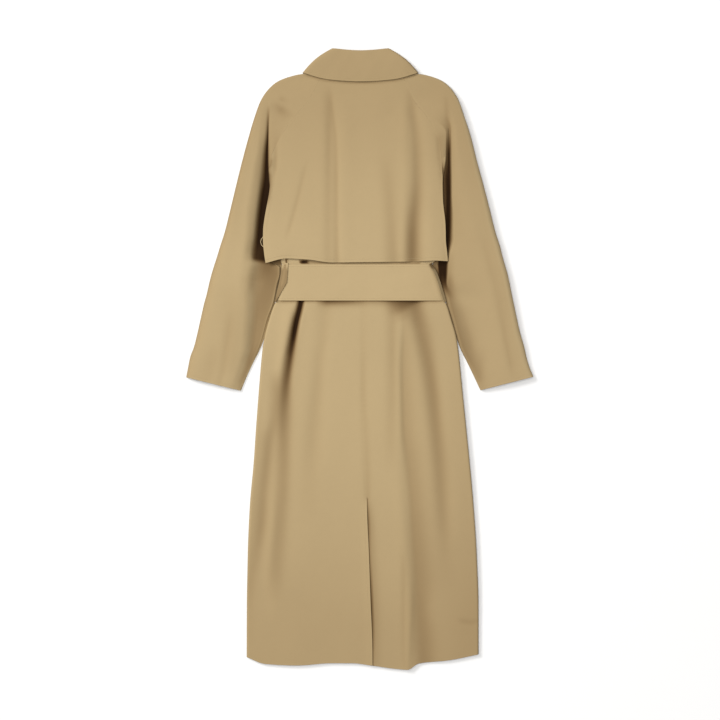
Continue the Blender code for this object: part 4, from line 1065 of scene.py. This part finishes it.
FRONT_TOP_Y = 553.0
FRONT_NECK_END_Y = 397     # down to here the fronts' rows follow the neck
FRONT_LAST_LEVEL_Y = -520
FRONT_HEM_ROWS = 14
FRONT_HEM_Y = -600
FRONT_PITCH = 7.0
FRONT_COLUMNS = 48
NECK_SHARE = 0.74          # of the way to the free edge, where the neck's curve ends
RAGLAN_END_Y = 237


def front_grid(side):
    """The underside of one front, from the neck to the hem."""
    toward = 1 if side == "left" else -1
    rows = level_rows(spaced(FRONT_TOP_Y, FRONT_LAST_LEVEL_Y, FRONT_PITCH), FRONT_HEM_ROWS)
    levels = rows[0]
    base = to_hem(rows, FRONT_HEM_Y)[:, 0]
    edge = np.where(base >= RAGLAN_END_Y, read(FRONT_SEAM, side, base), read(BODY, side, base))
    free = CENTRE_X + toward * FRONT_LAP
    at = np.linspace(0, 1, FRONT_COLUMNS)
    x = edge[:, None] + (free - edge)[:, None] * at
    y = to_hem(rows, read(BACK_HEM, "y", x, "x") + FRONT_HEM_RISE)
    neck_x = np.where(at < NECK_SHARE, x, CENTRE_X)
    neck = np.where(at > 0, read(FRONT_NECK, "y", neck_x, "x"), FRONT_TOP_Y)
    down = (FRONT_TOP_Y - levels) / (FRONT_TOP_Y - FRONT_NECK_END_Y)
    y = np.where(levels > FRONT_NECK_END_Y, neck + (FRONT_NECK_END_Y - neck) * down, y)
    layers = 1 + ramp(x, LAP_LEFT_RAMP) * ramp(x, LAP_RIGHT_RAMP)
    z = collar_rise(y) + belt_rise(y) * layers
    if side == "left":
        z = z + BUTTON_RISE * ramp(x, BUTTON_RAMP)
    grid = np.stack([x, y, z], 2)
    return grid if side == "left" else grid[:, ::-1]


def make_fronts():
    for side in ("left", "right"):
        cloth("front_%s_cloth" % side, front_grid(side), CLOTH, 1, "front")


# ---------------------------------------------------------------------------------- the sleeves

def plain_back_height(x, y):
    """The underside of the backs with the large folds alone, at one place."""
    edge, level, roll, drop, folds = back_form(np.float64(x), np.float64(y))
    folds = folds + sum(fold_height(fold, x, y) for fold in FLAP_FOLDS) * ramp(y, FLAP_FOLD_RAMP)
    return float(edge + (level - edge) * roll + folds * (1 - drop * (1 - roll)))


def sleeve_rows(side):
    """Rows round one sleeve: over the top from the inner seam to the outer edge, then under."""
    sizes = SLEEVE_LEFT if side == "left" else SLEEVE_RIGHT
    toward = -1 if side == "left" else 1
    rows = []
    for i, inner_x in enumerate(sizes["inner_x"]):
        y = sizes["inner_y"][i]
        outer = Vector((sizes["outer_x"][i], sizes["outer_y"][i]))
        if inner_x is None:
            shift = toward * ARMHOLE_GAP
            top_start = Vector((float(read(BODY, side, y)) + shift, y))
            front_y = min(y, FRONT_TOP_Y + HEAD_SLOPE * (y - FRONT_TOP_Y))
            under_end = Vector((float(read(FRONT_SEAM, side, front_y)) + shift, front_y))
        else:
            top_start = Vector((inner_x, y))
            under_end = top_start
        seam = sizes["seam"][i]
        if inner_x is None:
            under_flap = plain_back_height(top_start.x - shift, y)
            over = float(flap_height(np.array([top_start.x]), np.array([y]))[0])
            seam += CLOTH + under_flap if y < LEVEL_SEAM_Y[0] else CLOTH - seam + over
        rim = float(collar_rise(outer.y)) + SLEEVE_EDGE_HEIGHT
        crown = sizes["crown"][i]
        hollow = sizes["hollow"][i]
        row = [(0, seam, sizes["seam_hollow"][i])]
        bank = sizes["floor_x"][i] - toward * BANK
        row.append(((bank - top_start.x) / (outer.x - top_start.x),
                    seam + (sizes["floor"][i] - seam) * (BANK_LOW if y < PLAIN_ABOVE_Y else 0),
                    sizes["seam_hollow"][i]))
        span = sizes["crown_x"][i] - top_start.x
        for place in ("floor", "foot", "brow", "crown"):
            reach = sizes[place + "_x"][i] - top_start.x
            height = sizes[place][i]
            if y >= PLAIN_ABOVE_Y:
                height = seam + (sizes["crown"][i] - seam) * ease(reach / span)
            row.append((reach / (outer.x - top_start.x), height, hollow * PAINTED_SHADE_AT[place]))
        crown_at = row[-1][0]
        for share in TO_EDGE_LINES:
            row.append((crown_at + (1 - crown_at) * share,
                        rim + (crown - rim) * math.sqrt(1 - share ** CROWN_ROUNDNESS), 0.0))
        points = [(*top_start.lerp(outer, w), z, hollow) for w, z, hollow in row]
        for share, lift in UNDER_LINES:
            spot = under_end.lerp(outer, share)
            points.append((*spot, lift + float(collar_rise(spot.y)), 0.0))
        rows.append(points)
    return np.array(rows, float)


def refined(grid, pitch, axis):
    """A grid with smooth curves through its points along one axis, its lines kept."""
    if axis == 1:
        return refined(grid.transpose(1, 0, 2), pitch, 0).transpose(1, 0, 2)
    lengths = np.linalg.norm(np.diff(grid[..., :3], axis=0), axis=2).mean(axis=1)
    knots = np.concatenate([[0], np.cumsum(lengths)])
    places = [np.linspace(a, b, max(1, round((b - a) / pitch)) + 1)[:-1]
              for a, b in zip(knots[:-1], knots[1:])]
    return through(knots, grid, np.concatenate(places + [knots[-1:]]))


SEAM_BLEND = 16.0      # how far from the seam a sleeve is led to the flap's height
SLEEVE_LEAST_HEIGHT = 2 * CLOTH + 0.3
UPPER_SIDE = 0.2       # how far up a normal looks, at least, on a piece's upper side
STILL_UP = 0.05        # and on what counts as an edge that turns down
STEEP = 0.35           # how far aside it looks where the inner edge turns down
# painted shade as an edge turns down, or painted light where less than 0, standing in for how the
# lamps fall on it
OUTER_EDGE_PAINTED_SHADING = {"left": 0.22, "right": -0.42}
INNER_EDGE_PAINTED_SHADING = {"left": -0.9, "right": 0.0}
INNER_EDGE_Y = (150, 120)


def make_sleeves():
    for side in ("left", "right"):
        grid = refined(refined(sleeve_rows(side), PITCH, 1), PITCH, 0)
        hollow = grid[..., 3]
        grid = grid[..., :3].copy()
        x, y = grid[..., 0], grid[..., 1]
        order = 1 if side == "right" else -1
        up = np.clip(grid_normals(grid[:, ::order])[:, ::order, 2], 0, 1)
        extra = valley_height(SLEEVE_VALLEYS[side], x, y)
        extra += ripple(x, y, side)
        least = np.minimum(grid[..., 2], SLEEVE_LEAST_HEIGHT)     # clear of the underside
        grid[..., 2] += extra * up ** 2
        upper = up > UPPER_SIDE
        grid[..., 2] = np.where(upper, np.maximum(grid[..., 2], least), grid[..., 2])
        # the upper seam lies level with the storm flap's sewn edge
        seam = grid[:, :1]
        lift = flap_height(seam[..., 0], seam[..., 1]) + CLOTH - seam[..., 2]
        reach = np.hypot(x - seam[..., 0], y - seam[..., 1])
        grid[..., 2] += (lift * ramp(seam[..., 1], LEVEL_SEAM_Y)
                         * bell(reach, SEAM_BLEND) * upper)
        # painted shade in the crevices and valleys, then painted light and shade on edges as they
        # turn from the lamps
        valleys = valley_shade(SLEEVE_VALLEYS[side], x, y) * up
        shade = 1 - (1 - np.clip(hollow, 0, 1)) * (1 - valleys)
        turned = grid_normals(grid[:, ::order])[:, ::order]
        outwards = turned[..., 0] * order * (turned[..., 2] > STILL_UP)
        shade += OUTER_EDGE_PAINTED_SHADING[side] * np.clip(outwards, 0, 1)
        shade += INNER_EDGE_PAINTED_SHADING[side] * np.clip(-outwards - STEEP, 0, 1) * ramp(y, INNER_EDGE_Y)
        bulge = np.where(y > RAGLAN_END_Y, SEWN, ROUND)
        cloth("sleeve_%s_cloth" % side, grid[:, ::order], CLOTH, -1, "sleeve", shade[:, ::order],
              centre=0.5, bulge=bulge[:, ::order])


# ----------------------------------------------------------------------------------- the collar

def collar_line(kind):
    """One line of the collar, whole: the half in the table and its mirror image."""
    half = list(zip(*(COLLAR[kind + axis] for axis in ("_x", "_y", "_z"))))
    whole = half + [(-x, y, z) for x, y, z in half[-2::-1]]
    points = [Vector((x + CENTRE_X, y, z)) for x, y, z in whole]
    last = len(points) - 1
    line = []
    for i in range(last):
        a, b, c, d = (points[min(max(k, 0), last)] for k in (i - 1, i, i + 1, i + 2))
        for step in range(COLLAR_STEPS):
            t = step / COLLAR_STEPS
            smooth = 0.5 * (2 * b + (c - a) * t + (2 * a - 5 * b + 4 * c - d) * t * t
                            + (3 * b - a - 3 * c + d) * t ** 3)
            flat = b.lerp(c, t)
            line.append(Vector((smooth.x, smooth.y, flat.z if b.z == c.z else smooth.z)))
    line.append(points[last])
    return np.array([(point.x, point.y, max(point.z, 0.0)) for point in line])


FALL_LINES = 19
STAND_LINES = 9
FULL_TO_SIDE, FULL_TO_NECK = 0.635, 0.773      # the way in which the collar's sides stand out


def make_collar():
    """The fall from the roll line to its edge, and the stand from the roll to the neck."""
    roll = collar_line("roll")
    edge = collar_line("edge")
    shares = np.linspace(0, 1, FALL_LINES)[:, None, None]
    fall = roll + (edge - roll) * shares
    half_way = np.sin(math.pi * shares[..., 0])
    fullness = COLLAR_BULGE * half_way * ramp(np.abs(roll[:, 0]), COLLAR_SIDE)
    fall[..., 0] += FULL_TO_SIDE * fullness * np.sign(roll[:, 0])
    fall[..., 1] += FULL_TO_NECK * fullness
    puffed = ramp(roll[:, 2], FALL_PUFF_RAMP)
    fall[..., 2] += FALL_PUFF * half_way * puffed
    fall[..., 2] += ripple(fall[..., 0], fall[..., 1], "fall") * puffed
    cloth("collar_fall_cloth", fall, DOUBLE_CLOTH, -1, "fall", centre=0.5)
    inner_roll = roll - grid_normals(fall)[0] * (DOUBLE_CLOTH + LAY_GAP)
    seam = collar_line("seam")
    shares = np.linspace(0, 1, STAND_LINES)[:, None, None]
    stand = inner_roll + (seam - inner_roll) * shares
    cloth("collar_stand_cloth", stand, DOUBLE_CLOTH, -1, "stand", centre=0.5)


# ------------------------------------------------------------------------------- belt and loops

# lines along the back of the belt, as shares of the way from each end to the middle
BELT_LEFT_LINES = (0.035, 0.10, 0.20, 0.255, 0.30, 0.37, 0.46, 0.56, 0.66, 0.77, 0.88, 1)
BELT_RIGHT_LINES = (0.965, 0.90, 0.82, 0.74, 0.66, 0.58, 0.5, 0.42, 0.33, 0.25, 0.16, 0.045)
# and along the part that lies on the surface
BELT_FLOOR_LEFT_LINES = (0.35, 0.7)
BELT_FLOOR_RIGHT_LINES = (0.25, 0.5, 0.75, 1)


def belt_outline():
    """The belt's coarse outer side, a row for each lengthwise line, and its back's columns."""
    top = CLOTH + BELT_LIFT + DOUBLE_CLOTH
    lap = DOUBLE_CLOTH + SEAM_GAP
    ramp_foot, ramp_middle, ramp_head = BELT_LAP_RAMP
    rows = []
    for y in BELT_ROWS:
        left = float(read(BODY, "left", y))
        right = float(read(BODY, "right", y))
        middle = float(centre_back(y))
        row = [(BELT_END_OVER, lap), (CENTRE_X, lap), (ramp_head, lap), (ramp_middle, lap / 2),
               (ramp_foot, 0)]
        floor_left = left + BELT_TURN[-1][0]
        row += [(ramp_foot + (floor_left - ramp_foot) * share, 0)
                for share in BELT_FLOOR_LEFT_LINES]
        row += [(left + reach, z) for reach, z in BELT_TURN[::-1]]
        first_back = len(row)
        xs = [left + (middle - left) * share for share in BELT_LEFT_LINES]
        xs += [right + (middle - right) * share for share in BELT_RIGHT_LINES]
        for x in sorted(xs):
            at_y = BELT_ROWS[2] if abs(x - middle) < BELT_FLAT_HALF else y
            row.append((x, plain_back_height(x, at_y) + top))
        last_back = len(row) - 1
        row += [(right - reach, z) for reach, z in BELT_TURN]
        floor_right = right - BELT_TURN[-1][0]
        row += [(floor_right + (BELT_END_UNDER - floor_right) * share, 0)
                for share in BELT_FLOOR_RIGHT_LINES]
        rows.append([(x, y, z) for x, z in row])
    return np.array(rows, float), first_back, last_back


BELT_FACE_EDGE = table("y x", [
    (190, -143), (184, -143.4), (153, -146), (135, -156), (115, -169)])
BELT_BULGE = 0.12
BELT_BACK_ABOVE = 6       # the belt's back lies above this height, with its puff and ripple
BELT_PUFF = 0.25
BELT_FACE = 0.3           # how far up a normal looks, at least, where shade is painted on the end
BELT_FACE_ABOVE = 3
BELT_END_SHADE = 0.36     # painted shade past the face's curved left edge, where the belt turns away, reached over BELT_END_TURN
BELT_END_TURN = (0, 2.4)
LEFT_LOOP_SHADE_RAMP = (186, 176)
RIGHT_LOOP_SHADE_RAMP = (176, 184)
LOOP_OFFSET = LAY_GAP + 0.5
LOOP_LEAST_WIDTH = 2.4
LOOP_PITCH = 3.0
LOOP_BULGE = 0.2
# painted shade at the right loop's top, under the flap's hem, and painted light low on it where
# less than 0
LOOP_TOP_SHADE = 0.45
LOOP_LOW_SHADE = -0.15


def make_belt():
    """The belt all round, with its lapped ends under the coat, and its two loops."""
    rows, first_back, last_back = belt_outline()
    fine = refined(refined(rows, PITCH, 1), PITCH, 0)
    up = np.clip(grid_normals(fine)[..., 2], 0, 1)
    x, y = fine[..., 0], fine[..., 1]
    fine[..., 2] += (ripple(x, y, "belt") + BELT_PUFF) * up ** 4 * (fine[..., 2] > BELT_BACK_ABOVE)
    # painted shade on the belt's end as it turns away past the face's left edge
    past = read(BELT_FACE_EDGE, "x", y) - x
    face = (up > BELT_FACE) * (fine[..., 2] > BELT_FACE_ABOVE)
    shade = BELT_END_SHADE * ramp(past, BELT_END_TURN) * face
    cloth("belt_cloth", fine, DOUBLE_CLOTH, -1, "belt", shade, bulge=BELT_BULGE)
    over = rows + grid_normals(rows) * LOOP_OFFSET
    for side, column in (("left", first_back - 1), ("right", last_back)):
        strip = over[:, column:column + 2]
        strip = np.concatenate([loop_end(strip[0], 1), strip, loop_end(strip[-1], -1)[::-1]])
        for line in strip:
            if side == "left":
                face_edge = float(read(BELT_FACE_EDGE, "x", line[1, 1]))
                line[1, 0] = max(line[0, 0] + LOOP_LEAST_WIDTH, face_edge)
            else:
                line[0, 0] = float(read(BODY, side, line[0, 1])) - LOOP_LEAST_WIDTH
        halfway = (strip[:, :1] + strip[:, 1:]) / 2
        strip = np.concatenate([strip[:, :1], halfway, strip[:, 1:]], axis=1)
        strip = resampled(strip, LOOP_PITCH)
        # painted shade on the loops: the left one all but its top, the right one at its top, with
        # painted light below
        if side == "left":
            shade = BELT_END_SHADE * ramp(strip[..., 1], LEFT_LOOP_SHADE_RAMP)
        else:
            at_top = ramp(strip[..., 1], RIGHT_LOOP_SHADE_RAMP)
            shade = LOOP_LOW_SHADE + (LOOP_TOP_SHADE - LOOP_LOW_SHADE) * at_top
        cloth("belt_loop_%s_cloth" % side, strip, CLOTH, 1, "loop", shade, bulge=LOOP_BULGE)


def loop_end(edge, out):
    """Two rows past a belt loop's edge: over the belt's edge, and down to just above the back."""
    over = edge + (0, LOOP_OVERHANG * out, 0)
    down = over + (0, LOOP_TUCK * out, 0)
    for point in down:
        clear = plain_back_height(point[0], point[1] + CLOTH * out) + CLOTH + LOOP_CLEARANCE
        point[2] = min(clear, point[2] - LAY_GAP)
    return np.stack([down, over])


def resampled(grid, pitch):
    """A grid with straight lines between its rows, and new rows at an even pitch on them."""
    parts = []
    for a, b in zip(grid[:-1], grid[1:]):
        steps = max(1, round(float(np.linalg.norm(b - a, axis=1).mean()) / pitch))
        parts += [a + (b - a) * step / steps for step in range(steps)]
    return np.array(parts + [grid[-1]])


make_backs()
make_flap()
make_fronts()
make_sleeves()
make_collar()
make_belt()


# --------------------------------------------------------------------------- sewing and buttons

STITCH = 3.0
STITCH_STEP = 3.7
STITCH_RADIUS = 0.2
STITCH_MARGIN = 2.0
STITCH_SHAPE = ((0.0, -0.1), (0.2, 0.12), (0.8, 0.12), (1.0, -0.1))   # share of length and height
EDGE_SEWING = 6.0      # from an edge to the stitches along it
BELT_SEWING = 4.0


def inside_line(name, side, distance):
    """Places on a cloth's upper side at a distance from one of its edges, and the way up there."""
    grid, ups = surfaces[name]
    if side in ("left", "right"):
        grid, ups = grid.transpose(1, 0, 2), ups.transpose(1, 0, 2)
    if side in ("right", "bottom"):
        grid, ups = grid[::-1], ups[::-1]
    run = run_lengths(grid, 0)
    index = np.clip((run < distance).sum(0) - 1, 0, len(grid) - 2)
    every = np.arange(grid.shape[1])
    share = (distance - run[index, every]) / (run[index + 1, every] - run[index, every])
    places = [rows[index, every] + (rows[index + 1, every] - rows[index, every]) * share[:, None]
              for rows in (grid, ups)]
    return np.concatenate(places, axis=1)


def stitches(name, lines):
    """Rows of stitches as small four-sided bars, joined into one piece. Each line has rows of a
    place and the way up there."""
    bars = []
    for line in lines:
        steps = np.linalg.norm(np.diff(line[:, :3], axis=0), axis=1)
        knots = np.concatenate([[0], np.cumsum(steps)])
        starts = np.arange(STITCH_MARGIN, knots[-1] - STITCH - STITCH_MARGIN, STITCH_STEP)
        rings = []
        for share, height in STITCH_SHAPE:
            at = starts + STITCH * share
            here = np.stack([np.interp(at, knots, line[:, k]) for k in range(6)], 1)
            ahead = np.stack([np.interp(at + 0.5, knots, line[:, k]) for k in range(3)], 1)
            up = here[:, 3:] / np.linalg.norm(here[:, 3:], axis=1, keepdims=True)
            aside = np.cross(ahead - here[:, :3], up)
            aside /= np.maximum(np.linalg.norm(aside, axis=1, keepdims=True), 1e-9)
            centre = here[:, :3] + up * height
            rings.append(np.stack([centre + way * STITCH_RADIUS
                                   for way in (aside, up, -aside, -up)], 1))
        bars.append(np.stack(rings, 1).reshape(-1, 3))
    corners = np.concatenate(bars)
    faces = []
    for start in range(0, len(corners), 4 * len(STITCH_SHAPE)):
        last = start + 4 * (len(STITCH_SHAPE) - 1)
        for low in range(start, last, 4):
            faces += [(low + k, low + 4 + k, low + 4 + (k + 1) % 4, low + (k + 1) % 4)
                      for k in range(4)]
        faces += [(start, start + 1, start + 2, start + 3), (last + 3, last + 2, last + 1, last)]
    mesh = bpy.data.meshes.new(name)
    mesh.from_pydata((corners * MM).tolist(), [], faces)
    mesh.validate()
    piece = bpy.data.objects.new(name, mesh)
    bpy.context.scene.collection.objects.link(piece)
    piece.data.materials.append(sewing_thread)
    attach(piece, "root")


def upper_part(line, lowest=0.35):
    """The longest stretch of a line that looks up."""
    good = np.concatenate([[False], line[:, 5] > lowest, [False]])
    turns = np.flatnonzero(good[1:] != good[:-1])
    stretches = list(zip(turns[::2], turns[1::2]))
    start, end = max(stretches, key=lambda pair: pair[1] - pair[0])
    return line[start:end]


def sew():
    """Stitches along the hem and sides of the flap, the belt, the collar, vent and cuffs."""
    flap_sides = [inside_line("storm_flap_cloth", side, EDGE_SEWING) for side in ("left", "right")]
    stitches("storm_flap_stitches",
             [inside_line("storm_flap_cloth", "bottom", EDGE_SEWING)]
             + [line[line[:, 1] < FLAP_EDGE["y"][0]] for line in flap_sides])
    stitches("belt_stitches", [upper_part(inside_line("belt_cloth", side, BELT_SEWING),
                                          lowest=0.6)
                               for side in ("top", "bottom")])
    collar_edge = inside_line("collar_fall_cloth", "bottom", EDGE_SEWING)
    stitches("collar_stitches", [upper_part(collar_edge)])
    vent = inside_line("back_left_cloth", "right", EDGE_SEWING)
    stitches("vent_stitches", [vent[vent[:, 1] < VENT_TOP_Y]])
    for side in ("left", "right"):
        cuff = inside_line("sleeve_%s_cloth" % side, "bottom", EDGE_SEWING)
        stitches("cuff_%s_stitches" % side, [upper_part(cuff)])


sewing_thread = thread_finish()
horn = button_finish()
sew()
buttons = [("button_%d" % number, horn) for number in range(1, 6)]
for name, finish in [("flap_loop", sewing_thread)] + buttons:
    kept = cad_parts[name]
    kept.data.materials.clear()
    kept.data.materials.append(finish)


# ------------------------------------------------------------------- floor, light and the camera

VIEW_WIDTH = 1.44
CAMERA_HEIGHT = 6.0
CAMERA_Y = -0.0017
SENSOR = 36.0
LAMP_WHITE = (1.0, 0.99, 0.975)
AIR_LIGHT = 0.28
FLOOR_SIZE = 30
FLOOR_Z = -0.0004


def lamp(name, place, size, power):
    """A round soft lamp that shines at the coat's middle."""
    data = bpy.data.lights.new(name, "AREA")
    data.spread = math.pi
    data.shape = "DISK"
    data.size = size
    data.energy = power
    data.color = LAMP_WHITE
    light = bpy.data.objects.new(name, data)
    light.location = place
    light.rotation_mode = "QUATERNION"
    light.rotation_quaternion = (-Vector(place)).to_track_quat("-Z", "Y")
    bpy.context.scene.collection.objects.link(light)


bpy.ops.object.select_all(action="DESELECT")
bpy.ops.mesh.primitive_plane_add(size=FLOOR_SIZE, location=(0, 0, FLOOR_Z))
floor = bpy.context.object
floor.name = "studio_floor"
floor.data.materials.append(new_finish(
    "studio_floor_white", Base_Color=(0.68, 0.68, 0.68, 1), Roughness=0.9,
    Emission_Color=(1, 1, 1, 1), Emission_Strength=0.12)[0])

lamp("high_soft_light", (-1.6, 1.0, 12.0), size=7.0, power=1080)
lamp("side_light", (-6.6, 4.6, 6.6), size=3.4, power=760)

world = bpy.data.worlds.new("studio_air")
bpy.context.scene.world = world
world.use_nodes = True
sky = world.node_tree.nodes["Background"].inputs
sky["Color"].default_value = (1.0, 1.0, 1.0, 1)
sky["Strength"].default_value = AIR_LIGHT

lens = bpy.data.cameras.new("studio_camera")
lens.sensor_width = SENSOR
lens.lens = SENSOR * CAMERA_HEIGHT / VIEW_WIDTH
lens.clip_end = 100
camera = bpy.data.objects.new("studio_camera", lens)
camera.location = (0, CAMERA_Y, CAMERA_HEIGHT)
bpy.context.scene.collection.objects.link(camera)
bpy.context.scene.camera = camera
bpy.context.scene.view_settings.view_transform = "Standard"

BACKS = ["back_left_cloth", "back_right_cloth"]
for node, width, length, area, under in (
        ("back_left", 0.25, 1.19, 0.25, ["front_left_cloth"]),
        ("back_right", 0.26, 1.2, 0.26, ["front_right_cloth"]),
        ("storm_flap", 0.38, 0.39, 0.12, BACKS),
        ("front_left", 0.29, 1.17, 0.27, ["belt_cloth"]),
        ("front_right", 0.3, 1.17, 0.27, ["belt_cloth"]),
        ("sleeve_left", 0.3, 0.7, 0.15, ["collar_fall_cloth"]),
        ("sleeve_right", 0.3, 0.7, 0.15, ["collar_fall_cloth"]),
        ("collar_fall", 0.5, 0.075, 0.03, ["collar_stand_cloth"]),
        ("collar_stand", 0.4, 0.05, 0.0147, ["collar_fall_cloth"]),
        ("belt", 0.072, 0.75, 0.05, BACKS),
        ("belt_loop_left", 0.012, 0.09, None, ["belt_cloth"]),
        ("belt_loop_right", 0.012, 0.09, None, ["belt_cloth"])):
    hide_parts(node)
